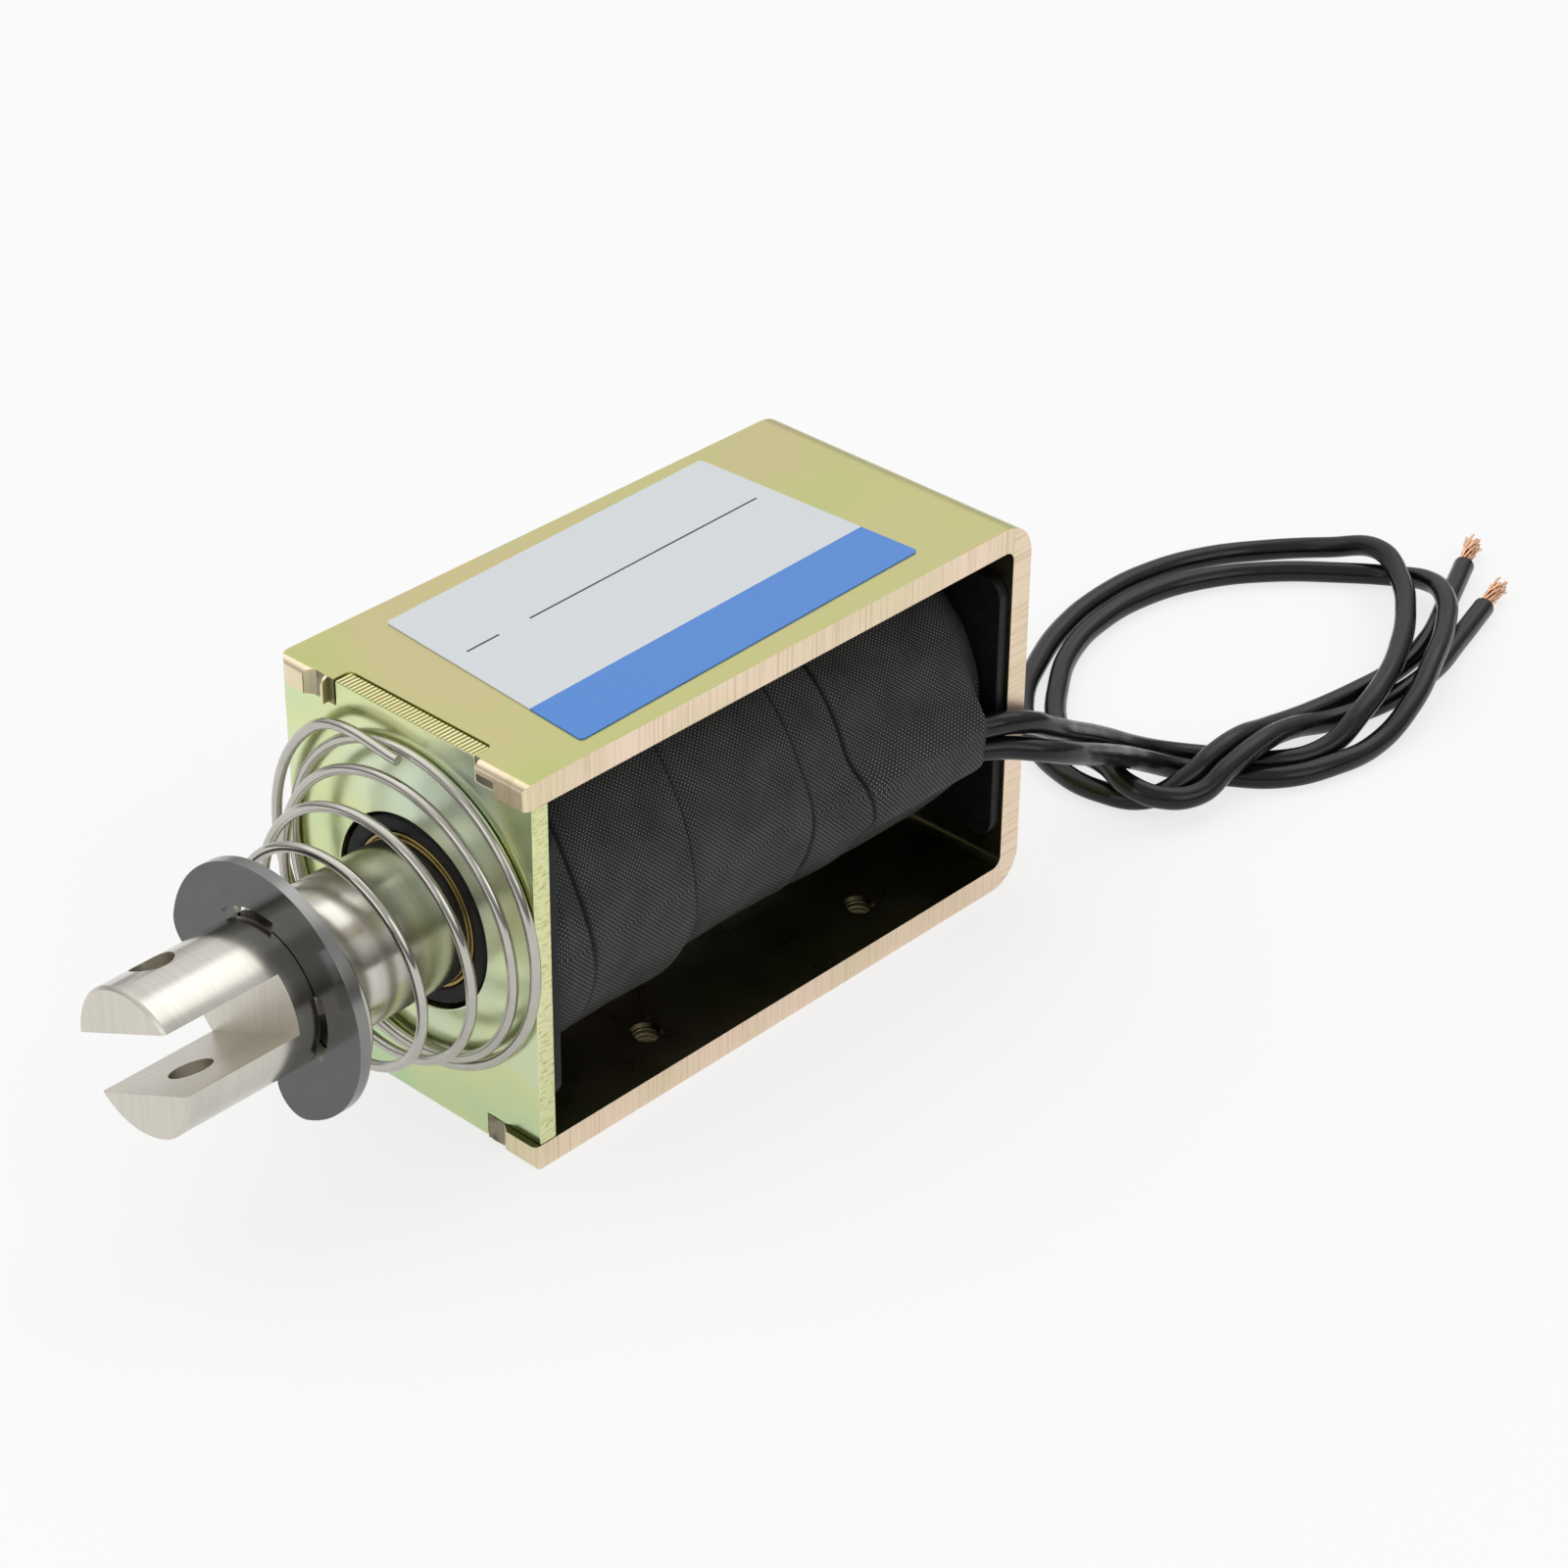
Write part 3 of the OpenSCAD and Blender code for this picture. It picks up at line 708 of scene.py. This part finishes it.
# %% From a tree to a plain mesh
def grown(name, tree, sizes, finish):
    """Runs a tree on an empty mesh and returns the result as a plain object."""
    obj = add_object(name, bpy.data.meshes.new(name))
    modifier = obj.modifiers.new(name, "NODES")
    modifier.node_group = tree
    for item in tree.interface.items_tree:
        if item.in_out == "INPUT" and item.name in sizes:
            modifier[item.identifier] = sizes[item.name]
        elif item.in_out == "INPUT" and item.name == "Finish":
            modifier[item.identifier] = finish
    mesh = settle(obj, name)
    print(name, "vertices:", len(mesh.vertices), "faces:", len(mesh.polygons))
    return obj


# %% [markdown]
# ## Return spring
# A conical spring: the radius falls evenly from the plate to the ring, a little
# over one turn lies closed on the plate, and the loose tip bends inwards and
# stands in front of the next turn. The rule gives each point of a straight line
# its angle, radius and station, and the bent line then carries a round profile.

# %% Return spring sizes
SPRING = {
    "Wire radius": 0.5 * MM, "Turns": 5.0, "Start angle": 88.0,
    "Big radius": 16.9 * MM, "Small radius": 9.0 * MM, "Tip tuck": 2.6 * MM,
    "Start": -33.02 * MM, "End": -47.52 * MM, "Axis height": AXIS_Z * MM,
    "Shift x": 0.35 * MM, "Shift z": 2.2 * MM, "Steps": 420, "Sides": 14,
}
CLOSED_SHARE = 0.24
RISE_POWER = 1.35
LEAN_POWER = 1.6
TIP_SHARE = 0.022
FORWARD_SHARE = 0.12
FORWARD_RADII = 2.1
spring_tree = new_tree("conical_spring", SPRING)
print("spring turns", SPRING["Turns"])

# %% Angle, radius and station along the wire
w = Wiring(spring_tree)
line = w.add("GeometryNodeCurvePrimitiveLine")
fine = w.add("GeometryNodeResampleCurve",
             {"Curve": line.outputs[0], "Count": w.size("Steps")})
t = w.add("GeometryNodeSplineParameter").outputs["Factor"]
rest = w.math("SUBTRACT", 1.0, t)
start_angle = w.math("RADIANS", w.size("Start angle"))
angle = w.math("MULTIPLY_ADD", w.math("MULTIPLY", t, w.size("Turns")),
               2 * math.pi, start_angle)
cone = w.math("MULTIPLY_ADD", rest,
              w.math("SUBTRACT", w.size("Big radius"), w.size("Small radius")),
              w.size("Small radius"))
tuck = w.math("MULTIPLY", w.size("Tip tuck"), w.left_of(t, TIP_SHARE))
radius = w.math("SUBTRACT", cone, tuck)
past_closed = w.math("MAXIMUM", w.math("SUBTRACT", t, CLOSED_SHARE), 0.0)
open_share = w.math("MULTIPLY", past_closed, 1 / (1 - CLOSED_SHARE))
rise = w.math("POWER", open_share, RISE_POWER)
run = w.math("SUBTRACT", w.size("End"), w.size("Start"))
lift = w.math("MULTIPLY", w.math("MULTIPLY", w.size("Wire radius"), FORWARD_RADII),
              w.left_of(t, FORWARD_SHARE))
station = w.math("SUBTRACT", w.math("MULTIPLY_ADD", run, rise, w.size("Start")),
                 lift)

# %% The bent line and its wire
fade = w.math("POWER", rest, LEAN_POWER)
across = w.math("MULTIPLY_ADD", radius, w.math("COSINE", angle),
                w.math("MULTIPLY", w.size("Shift x"), fade))
height = w.math("ADD", w.math("MULTIPLY_ADD", radius, w.math("SINE", angle),
                              w.math("MULTIPLY", w.size("Shift z"), fade)),
                w.size("Axis height"))
coiled = w.add("GeometryNodeSetPosition",
               {"Geometry": fine.outputs[0],
                "Position": w.vector(across, station, height)})
w.finish(w.swept(coiled, w.size("Sides"), w.size("Wire radius")))

# %% Return spring piece
spring = grown("return_spring_wire", spring_tree, SPRING, bright_wire)
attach(spring, "frame")
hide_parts("return_spring")
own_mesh(spring)

# %% [markdown]
# ## Threads in the base holes
# The four M3 holes of the base show fine ridges that catch the light. One
# thread is a helix with a triangular profile. The tree makes one helix and puts
# a copy at each corner of the hole pattern.

# %% Thread tree
THREAD = {"Hole radius": 1.3 * MM, "Ridge": 0.13 * MM, "Pitch turns": 4.4,
          "Depth": 2.2 * MM, "Spacing x": 20.5 * MM, "Spacing y": 28.5 * MM}
THREAD_LIFT = 0.15 * MM
thread_tree = new_tree("base_threads", THREAD)
w = Wiring(thread_tree)
helix = w.add("GeometryNodeCurveSpiral",
              {"Resolution": 40, "Rotations": w.size("Pitch turns"),
               "Start Radius": w.size("Hole radius"),
               "End Radius": w.size("Hole radius"), "Height": w.size("Depth")})
ridge = w.swept(helix, 3, w.size("Ridge"))
holes = w.add("GeometryNodeMeshGrid",
              {"Size X": w.size("Spacing x"), "Size Y": w.size("Spacing y"),
               "Vertices X": 2, "Vertices Y": 2})
copies = w.add("GeometryNodeInstanceOnPoints",
               {"Points": holes.outputs[0], "Instance": ridge})
raised = w.add("GeometryNodeTranslateInstances",
               {"Instances": copies.outputs[0],
                "Translation": (0, 0, THREAD_LIFT)})
w.finish(raised.outputs[0])

# %% Thread piece
# The ridges take the inside's darker tints, as painted shade.
threads = grown("base_thread_ridges", thread_tree, THREAD, zinc_inside_painted_shade)
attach(threads, "frame")

# %% [markdown]
# ## Bared copper ends
# Each lead ends in a short bundle of fine copper strands with a slight twist,
# which opens a little at the tip. The tree spreads points over a disc, stands a
# line on each one, then turns and spreads the lines as they rise.

# %% Strands standing on a disc
STRANDS = {"Strands": 22, "Strand radius": 0.13 * MM, "Bundle radius": 0.66 * MM,
           "Length": 6.0 * MM, "Twist": 2.2, "Splay": 0.55, "Seed": 3}
GOLDEN_ANGLE = 2.39996
SHORTEST, LONGEST = 0.82, 1.04
strand_tree = new_tree("strand_bundle", STRANDS)
w = Wiring(strand_tree)
strand_line = w.add("GeometryNodeCurvePrimitiveLine",
                    {"End": w.vector(0.0, 0.0, w.size("Length"))})
strand_fine = w.add("GeometryNodeResampleCurve",
                    {"Curve": strand_line.outputs[0], "Count": 14})
dots = w.add("GeometryNodePoints", {"Count": w.size("Strands")})
which = w.add("GeometryNodeInputIndex").outputs[0]
share = w.math("DIVIDE", which, w.size("Strands"))
ring_r = w.math("MULTIPLY", w.math("SQRT", share), w.size("Bundle radius"))
golden = w.math("MULTIPLY", which, GOLDEN_ANGLE)
seat = w.add("GeometryNodeSetPosition",
             {"Geometry": dots.outputs[0],
              "Position": w.vector(w.math("MULTIPLY", ring_r,
                                          w.math("COSINE", golden)),
                                   w.math("MULTIPLY", ring_r,
                                          w.math("SINE", golden)), 0.0)})
odd = w.add("FunctionNodeRandomValue",
            {"Seed": w.size("Seed"), 2: SHORTEST, 3: LONGEST}, data_type="FLOAT")
tall = w.vector(1.0, 1.0, odd.outputs[1])
stood = w.add("GeometryNodeInstanceOnPoints",
              {"Points": seat.outputs[0], "Instance": strand_fine.outputs[0],
               "Scale": tall})

# %% The twist and the splay
STRAY = 0.9 * MM
loose = w.add("GeometryNodeRealizeInstances", {"Geometry": stood.outputs[0]})
where = w.add("GeometryNodeInputPosition").outputs[0]
parts = w.add("ShaderNodeSeparateXYZ", {"Vector": where})
up_share = w.math("DIVIDE", parts.outputs[2], w.size("Length"))
open_by = w.math("MULTIPLY_ADD", w.math("POWER", up_share, 2.0),
                 w.size("Splay"), 1.0)
spin = w.add("ShaderNodeVectorRotate",
             {"Vector": where, "Angle": w.math("MULTIPLY", up_share,
                                               w.size("Twist"))},
             rotation_type="Z_AXIS")
spun = w.add("ShaderNodeSeparateXYZ", {"Vector": spin.outputs[0]})
ruffle = w.add("ShaderNodeTexNoise", {"Vector": where, "Scale": 900.0})
stray = w.math("MULTIPLY", w.math("SUBTRACT", ruffle.outputs[0], 0.5),
               w.math("MULTIPLY", up_share, STRAY))
bent = w.add("GeometryNodeSetPosition",
             {"Geometry": loose.outputs[0],
              "Position": w.vector(
                  w.math("MULTIPLY_ADD", spun.outputs[0], open_by, stray),
                  w.math("MULTIPLY_ADD", spun.outputs[1], open_by, stray),
                  spun.outputs[2])})
w.finish(w.swept(bent, 7, w.size("Strand radius")))

# %% Bundles at the leads' ends, and the cords attached
SEATED_BY = 0.4
for number, (name, route) in enumerate(LEAD_ROUTES.items()):
    cord, length = lead_cords[name]
    end = Vector(route[-1])
    heading = (end - Vector(route[-2])).normalized()
    strands = grown(name + "_strands", strand_tree,
                    dict(STRANDS, Seed=STRANDS["Seed"] + number), copper)
    seat_at = Matrix.Translation((end - SEATED_BY * heading) * MM)
    strands.data.transform(seat_at @ heading.to_track_quat("Z", "Y")
                           .to_matrix().to_4x4())
    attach(strands, "frame")
    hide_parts("strands_" + name[-1])
    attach(cord, "frame")
    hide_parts(name)

# %% [markdown]
# ## Cloth tape
# The winding is bound with black cloth tape in overlapping laps, so the coil
# steps down from lap to lap, sags in front and bulges over the lead joints.
# Each lap is a closed sleeve of its own with a slanted edge. Its UV map is in
# metres round and along the coil, so the weave keeps its size and follows the
# cloth. An attribute paints a shadow on the strip right beside each edge and
# just behind the edge of the lap in front.

# %% Weave of the cloth
THREAD_PITCH = 0.235 * MM
cloth = new_material("cloth_tape", (0.02, 0.02, 0.021), roughness=0.6,
                     Specular_IOR_Level=0.2)
threads_at = place(cloth, (1 / THREAD_PITCH, 1 / THREAD_PITCH, 1), source="UV")
thread_count = node(cloth, "ShaderNodeSeparateXYZ", {"Vector": threads_at})


def crown(axis):
    """One hump for each thread across an axis of the weave."""
    phase = maths(cloth, "MULTIPLY", thread_count.outputs[axis], math.pi)
    return maths(cloth, "ABSOLUTE", maths(cloth, "SINE", phase))


knots = maths(cloth, "MULTIPLY", crown("X"), crown("Y"))
checker = node(cloth, "ShaderNodeTexChecker", {"Vector": threads_at, "Scale": 1.0})
upper = maths(cloth, "MULTIPLY", checker.outputs["Fac"], 0.75)
weave_relief_and_painted_shade = maths(cloth, "MULTIPLY", knots, maths(cloth, "ADD", upper, 0.25))
bump(cloth, weave_relief_and_painted_shade, 0.6, 0.00006)

# %% Colour of the cloth
worn = maths(cloth, "MULTIPLY", noise_from(cloth, place(cloth), 260), 1.2)
# Painted shade and light: dark between and under threads, light on crowns.
tone = maths(cloth, "MULTIPLY", weave_relief_and_painted_shade, maths(cloth, "ADD", worn, 0.4))
painted_seam_shadow = node(cloth, "ShaderNodeAttribute", attribute_name="painted_seam_shadow")
shaded = maths(cloth, "MULTIPLY", tone, painted_seam_shadow.outputs["Fac"])
into_shader(cloth, Base_Color=ramp(cloth, shaded, (0.0, (0.0012, 0.0012, 0.0012)),
                                   (1.0, (0.19, 0.188, 0.183))))
print("cloth threads every", round(THREAD_PITCH / MM, 3), "mm")

# %% A lap edge from a few points


def ease(x):
    x = max(0.0, min(1.0, x))
    return x * x * (3 - 2 * x)


def fold(angle):
    """An angle brought to the range from -180 to 180."""
    return (angle + 180) % 360 - 180


def edge_line(points):
    """Station of a lap edge at an angle: points are (angle, station)."""
    first, last = points[0], points[-1]
    closed = [(last[0] + 360, last[1]), *points, (first[0] - 360, first[1])]

    def at(angle):
        angle = fold(angle)
        for (a0, y0), (a1, y1) in zip(closed, closed[1:]):
            if a1 <= angle <= a0:
                return y0 + (y1 - y0) * ease((a0 - angle) / (a0 - a1))
    return at


# %% Edges of the laps, in millimetres
COIL_Y0, COIL_Y1 = -29.4, 27.46
LAP_EDGES = [
    edge_line([(180, COIL_Y0)]),
    edge_line([(90, -24.6), (26, -26.3), (-21, -24.9), (-80, -25.5)]),
    edge_line([(90, -11.0), (9, -12.7), (-40, -11.2), (-90, -11.6)]),
    edge_line([(90, 2.2), (26, 1.8), (-7, 3.0), (-60, 2.6)]),
    edge_line([(90, 7.2), (17, 7.4), (-11, 9.6), (-60, 11.0)]),
    edge_line([(180, COIL_Y1)]),
]
REAR_SLOPE = edge_line([(40, 27.4), (14, 26.6), (-4, 26.0), (-30, 26.8)])
print("laps of tape:", len(LAP_EDGES) - 1)


# %% Bulges of the cloth
def bell(angle, centre, width):
    """1 at the centre, and near 0 beyond twice the width, in degrees."""
    return math.exp(-(fold(angle - centre) / width) ** 2)


def bulges(angle, y):
    """Where the cloth stands off the even cylinder, in millimetres: over the
    lead joints, in the sag under the first laps, where it is drawn tight behind
    that, and at the front end."""
    joints = (2.4 * min(1.0, 1.3 * bell(angle, -4, 15)) * ease((y - 3) / 10)
              * (1 - ease((y - 24.4) / 1.8)))
    sag = 0.85 * bell(angle, -62, 42) * (1 - ease((y + 13.5) / 2.6))
    tight = -0.35 * bell(angle, -50, 30) * ease((y + 13) / 2) * (1 - ease(y / 8))
    front = 0.35 * bell(angle, 0, 45) * (1 - ease((y + 25) / 2))
    return joints + sag + tight + front


# %% Radius of a lap
LAP_T = 0.24
LAP_R = [14.95, 14.98, 14.88, 14.82, 14.8]
SUNK, WRINKLE, CRUMPLE = 0.16, 0.2, 0.07
REAR_DROP, FRONT_DROP = 1.35, 0.6


def ripple(angle, y, round_scale, along_scale, start):
    """A smooth noise that meets itself after one turn."""
    turn = math.radians(angle)
    return noise.noise(Vector((math.cos(turn) * round_scale,
                               math.sin(turn) * round_scale,
                               y * along_scale + start)))


def lap_radius(number, angle, y, y0):
    """Outer radius of a lap: tucked under its neighbour at the front."""
    wrinkle = WRINKLE * ripple(angle, y, 2.6, 0.13, 9 * number)
    crumple = CRUMPLE * ripple(angle, y, 7, 0.45, 3)
    tuck = LAP_T * 1.3 * (1 - ease((y - y0 - 1.0) / 2.4)) if number else 0.0
    ends = (REAR_DROP * ease((y - REAR_SLOPE(angle) + 3.6) / 4.2) ** 2
            + FRONT_DROP * (1 - ease((y - COIL_Y0) / 1.4)))
    return (LAP_R[number] - tuck - SUNK + wrinkle + crumple - ends
            + bulges(angle, y))


# %% Stations along a lap
OVERLAP = 1.6
# SEAM_SHADE paints a shadow line just behind the edge of the lap in front.
SEAM_SHADE = {1.45: 0.0, 1.62: 0.0, 1.8: 0.05, 2.0: 0.6, 2.25: 1.0}
EDGE_STEPS = (0, 0.09, 0.2, 0.4)
ROW_STEP = 0.5


def lap_rows(y0, y1):
    """Stations along a lap: close together beside its edges and the seam."""
    first = [y0 + d for d in EDGE_STEPS] + [y0 + d for d in SEAM_SHADE]
    last = [y1 - d for d in reversed(EDGE_STEPS)]
    inner = max(2, int((last[0] - first[-1]) / ROW_STEP))
    middle = [first[-1] + (last[0] - first[-1]) * i / inner
              for i in range(1, inner)]
    return first + middle + last


# %% The two skins of a lap
AROUND = 200
WINDING_R = 14.4


def lap_columns(bm, number):
    """Columns of points round a lap, each up its outer skin and back down its
    inner one, and the count of points in one skin."""
    start, stop = LAP_EDGES[number], LAP_EDGES[number + 1]
    overlap = OVERLAP if number else 0.0
    low, high = start(0) - overlap, stop(0)
    rows = lap_rows(low, high)
    columns = []
    for i in range(AROUND):
        angle = 360.0 * i / AROUND
        turn = math.radians(angle)
        y0, y1 = start(angle) - overlap, stop(angle)
        column = []
        for ref in rows:
            y = y0 + (y1 - y0) * (ref - low) / (high - low)
            column.append((lap_radius(number, angle, y, y0), y))
        column += [(min(r - LAP_T * 0.9, WINDING_R + bulges(angle, y)), y)
                   for r, y in reversed(column)]
        columns.append([
            bm.verts.new((r * MM * math.cos(turn), y * MM,
                          (AXIS_Z + r * math.sin(turn)) * MM))
            for r, y in column])
    return columns, len(rows)


# %% A lap as a closed sleeve
UV_RADIUS = 15
WEAVE_SHIFT = 0.0031


def cloth_lap(bm, uv, painted_seam_shadow_layer, number):
    """One lap: an outer skin, an inner skin and both rims."""
    columns, count = lap_columns(bm, number)
    total = len(columns[0])
    for i in range(AROUND):
        a, b = columns[i], columns[(i + 1) % AROUND]
        for j in range(total):
            k = (j + 1) % total
            face = bm.faces.new((a[j], a[k], b[k], b[j]))
            face.smooth = True
            for loop, along in zip(face.loops, (i, i, i + 1, i + 1)):
                loop[uv].uv = (along / AROUND * 2 * math.pi * UV_RADIUS * MM,
                               loop.vert.co.y + WEAVE_SHIFT * number)
            if j in (count - 1, total - 1):
                for edge in face.edges:
                    edge.smooth = False
    # Painted shadow: the lap's rim rows and the strip behind the seam.
    shades = [1.0] * total
    shades[0] = shades[count - 1] = 0.0
    shades[count - 2] = 0.25
    if number:
        seam = len(EDGE_STEPS)
        shades[seam:seam + len(SEAM_SHADE)] = SEAM_SHADE.values()
    for column in columns:
        for vert, shade_of_row in zip(column, shades):
            vert[painted_seam_shadow_layer] = shade_of_row


# %% Cloth tape piece
def piece_from(bm, name, finish):
    """Turns a bmesh into an object of one finish, and frees the bmesh."""
    mesh = bpy.data.meshes.new(name)
    bm.to_mesh(mesh)
    bm.free()
    mesh.materials.append(finish)
    return add_object(name, mesh)


bm = bmesh.new()
uv_layer = bm.loops.layers.uv.new("cloth")
painted_seam_shadow_layer = bm.verts.layers.float.new("painted_seam_shadow")
for lap in range(len(LAP_EDGES) - 1):
    cloth_lap(bm, uv_layer, painted_seam_shadow_layer, lap)
bmesh.ops.recalc_face_normals(bm, faces=bm.faces)
tape = piece_from(bm, "coil_cloth", cloth)
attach(tape, "frame")
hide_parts("coil_tape", "lead_wrap")
print("cloth faces:", len(tape.data.polygons))

# %% [markdown]
# ## Label
# A pale film is stuck on the top, a little out of square, with one coloured
# band and two ruled lines. It carries no words. Its UV map runs from 0 to 1
# across and along, so the band and the rules are simple comparisons.

# %% Label finish
FILM_COLOUR = (0.70, 0.735, 0.755)
BAND_COLOUR = (0.078, 0.255, 0.70)
RULE_COLOUR = (0.05, 0.055, 0.06)
film = new_material("label_film", FILM_COLOUR, roughness=0.33, IOR=1.45)
film_at = node(film, "ShaderNodeSeparateXYZ", {"Vector": place(film, source="UV")})


def between(axis, low, high):
    """1 where a UV coordinate lies between two values."""
    wide = (high - low) / 2
    return maths(film, "COMPARE", film_at.outputs[axis], low + wide, wide)


band = between("X", 0.745, 1.01)
rule_ends = maths(film, "ADD", between("Y", 0.24, 0.95), between("Y", 0.05, 0.147))
rules = maths(film, "MULTIPLY", between("X", 0.334, 0.343), rule_ends)
banded = mix_colours(film, band, (*FILM_COLOUR, 1), (*BAND_COLOUR, 1))
ruled = mix_colours(film, rules, banded, (*RULE_COLOUR, 1))
into_shader(film, Base_Color=ruled)
bump(film, noise_from(film, place(film), 240), 0.1, 0.00008)

# %% Outline of the label
LABEL = [(-12.65, -23.0), (13.55, -24.8), (12.25, 19.0), (-13.95, 17.8)]
LABEL_T = 0.12
# A rounded corner takes this share of the width, and less of the length.
CORNER = 0.018
LENGTHWISE = 0.6


def on_label(u, v):
    """Point of the label's outline quad at u across and v along."""
    near = Vector(LABEL[0]).lerp(Vector(LABEL[1]), u)
    far = Vector(LABEL[3]).lerp(Vector(LABEL[2]), u)
    return near.lerp(far, v)


outline = []
for cu, cv, first in ((0, 0, 180), (1, 0, 270), (1, 1, 0), (0, 1, 90)):
    for k in range(5):
        a = math.radians(first + 22.5 * k)
        cx = CORNER if cu == 0 else 1 - CORNER
        cy = CORNER * LENGTHWISE if cv == 0 else 1 - CORNER * LENGTHWISE
        outline.append((cx + CORNER * math.cos(a),
                        cy + CORNER * LENGTHWISE * math.sin(a)))

# %% Label piece
bm = bmesh.new()
label_uv = bm.loops.layers.uv.new("print")
rows = []
for z in (TOP_Z, TOP_Z + LABEL_T):
    rows.append([bm.verts.new((*(on_label(u, v) * MM), z * MM)) for u, v in outline])
bm.faces.new(rows[1])
bm.faces.new(list(reversed(rows[0])))
for i in range(len(outline)):
    j = (i + 1) % len(outline)
    bm.faces.new((rows[0][i], rows[0][j], rows[1][j], rows[1][i]))
known = {v: uvs for row in rows for v, uvs in zip(row, outline)}
for face in bm.faces:
    for loop in face.loops:
        loop[label_uv].uv = known[loop.vert]
label = piece_from(bm, "label_sheet", film)
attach(label, "frame")
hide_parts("label")
print("label vertices:", len(label.data.vertices))

# %% [markdown]
# ## Hidden pieces
# The winding, the washer and the two sleeved joints stay as their measured
# solids, since nothing shows of their edges, but they get real finishes too.

# %% Finishes of the hidden pieces
for name, finish in (("winding", magnet_wire), ("pole_washer", brass_with_painted_shade),
                     ("splice_a", sleeve_skin), ("splice_b", sleeve_skin)):
    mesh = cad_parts[name].data
    mesh.materials.clear()
    mesh.materials.append(finish)

# %% [markdown]
# ## Floor and light
# The bench is a wide pale disc. It keeps the object's shadow, but part of what
# the camera and the metal see of it is an even glow, so that it stays nearly
# white. The sky is soft: paler overhead than at the horizon, with one broad
# bright side and one small bright patch, which give the metal light and dark
# bands to reflect. The lamps are large and weak, so a colour renders about as
# it is written.

# %% Floor finish
CAMERA_GLOW, MIRROR_GLOW = 0.75, 0.5
bench = bpy.data.materials.new("pale_floor")
bench.use_nodes = True
bench.node_tree.nodes.clear()
matt = node(bench, "ShaderNodeBsdfDiffuse", {"Color": (0.92, 0.92, 0.92, 1)})
glow = node(bench, "ShaderNodeEmission", {"Color": (1, 1, 1, 1)})
ray = node(bench, "ShaderNodeLightPath").outputs
seen = maths(bench, "MULTIPLY", ray["Is Camera Ray"], CAMERA_GLOW)
seen = maths(bench, "MULTIPLY_ADD", ray["Is Glossy Ray"], MIRROR_GLOW, seen)
surface = node(bench, "ShaderNodeMixShader",
               {0: seen, 1: matt.outputs[0], 2: glow.outputs[0]})
node(bench, "ShaderNodeOutputMaterial", {"Surface": surface.outputs[0]})

# %% Floor
FLOOR_R = 2.5
JUST_BELOW = -0.05 * MM
bm = bmesh.new()
bmesh.ops.create_circle(bm, cap_ends=True, segments=96, radius=FLOOR_R)
bmesh.ops.translate(bm, verts=bm.verts, vec=(0, 0, JUST_BELOW))
floor = piece_from(bm, "floor", bench)
print("floor radius", FLOOR_R, "m")

# %% Sky
SKY_LOW, SKY_HIGH = 0.15, 0.79
BRIGHT_SIDE = (-0.75, 0.35, 0.55)
SOFTBOX = (-0.04, 0.62, 0.785)
SIDE_GLOW, BOX_GLOW = 0.4, 1.2
world = bpy.data.worlds.new("soft_sky")
scene.world = world
world.use_nodes = True
sky = world.node_tree
sky.nodes.clear()
direction = add_node(sky, "ShaderNodeTexCoord").outputs["Generated"]
upward = add_node(sky, "ShaderNodeSeparateXYZ", {0: direction}).outputs["Z"]
brightness = smooth_step(sky, upward, -0.05, 0.6, SKY_LOW, SKY_HIGH)


def sky_patch(total, towards, edge, full, strength):
    """Adds a soft round patch of light: edge and full are cosines."""
    facing = add_node(sky, "ShaderNodeVectorMath",
                      {0: direction, 1: Vector(towards).normalized()},
                      operation="DOT_PRODUCT").outputs["Value"]
    patch = smooth_step(sky, facing, edge, full, 0.0, strength)
    return add_node(sky, "ShaderNodeMath", {0: total, 1: patch},
                    operation="ADD").outputs[0]


brightness = sky_patch(brightness, BRIGHT_SIDE, 0.45, 0.95, SIDE_GLOW)
brightness = sky_patch(brightness, SOFTBOX, 0.9, 0.975, BOX_GLOW)

# %% A white background behind the sky's light
to_camera = add_node(sky, "ShaderNodeLightPath").outputs["Is Camera Ray"]
level = add_node(sky, "ShaderNodeMix", {0: to_camera, 2: brightness, 3: 1.0},
                 data_type="FLOAT")
background = add_node(sky, "ShaderNodeBackground", {"Strength": level.outputs[0]})
add_node(sky, "ShaderNodeOutputWorld", {"Surface": background.outputs[0]})
print("sky from", SKY_LOW, "to", SKY_HIGH)


# %% Lamps
MIDDLE = (0, 0.02, 0.02)


def lamp(name, at, size, watts):
    """A round lamp, its size in metres, aimed at the middle of the object."""
    data = bpy.data.lights.new(name, "AREA")
    data.shape = "DISK"
    data.size = size
    data.energy = watts
    obj = add_object(name, data)
    obj.location = at
    aim = Vector(at) - Vector(MIDDLE)
    obj.rotation_mode = "QUATERNION"
    obj.rotation_quaternion = aim.to_track_quat("Z", "Y")
    print("lamp", name, "of", watts, "W")


lamp("key", (-0.35, -0.25, 0.75), 0.9, 1.0)
lamp("side", (0.7, 0.1, 0.45), 0.5, 0.7)
lamp("front", (0.1, -0.8, 0.3), 0.5, 0.7)
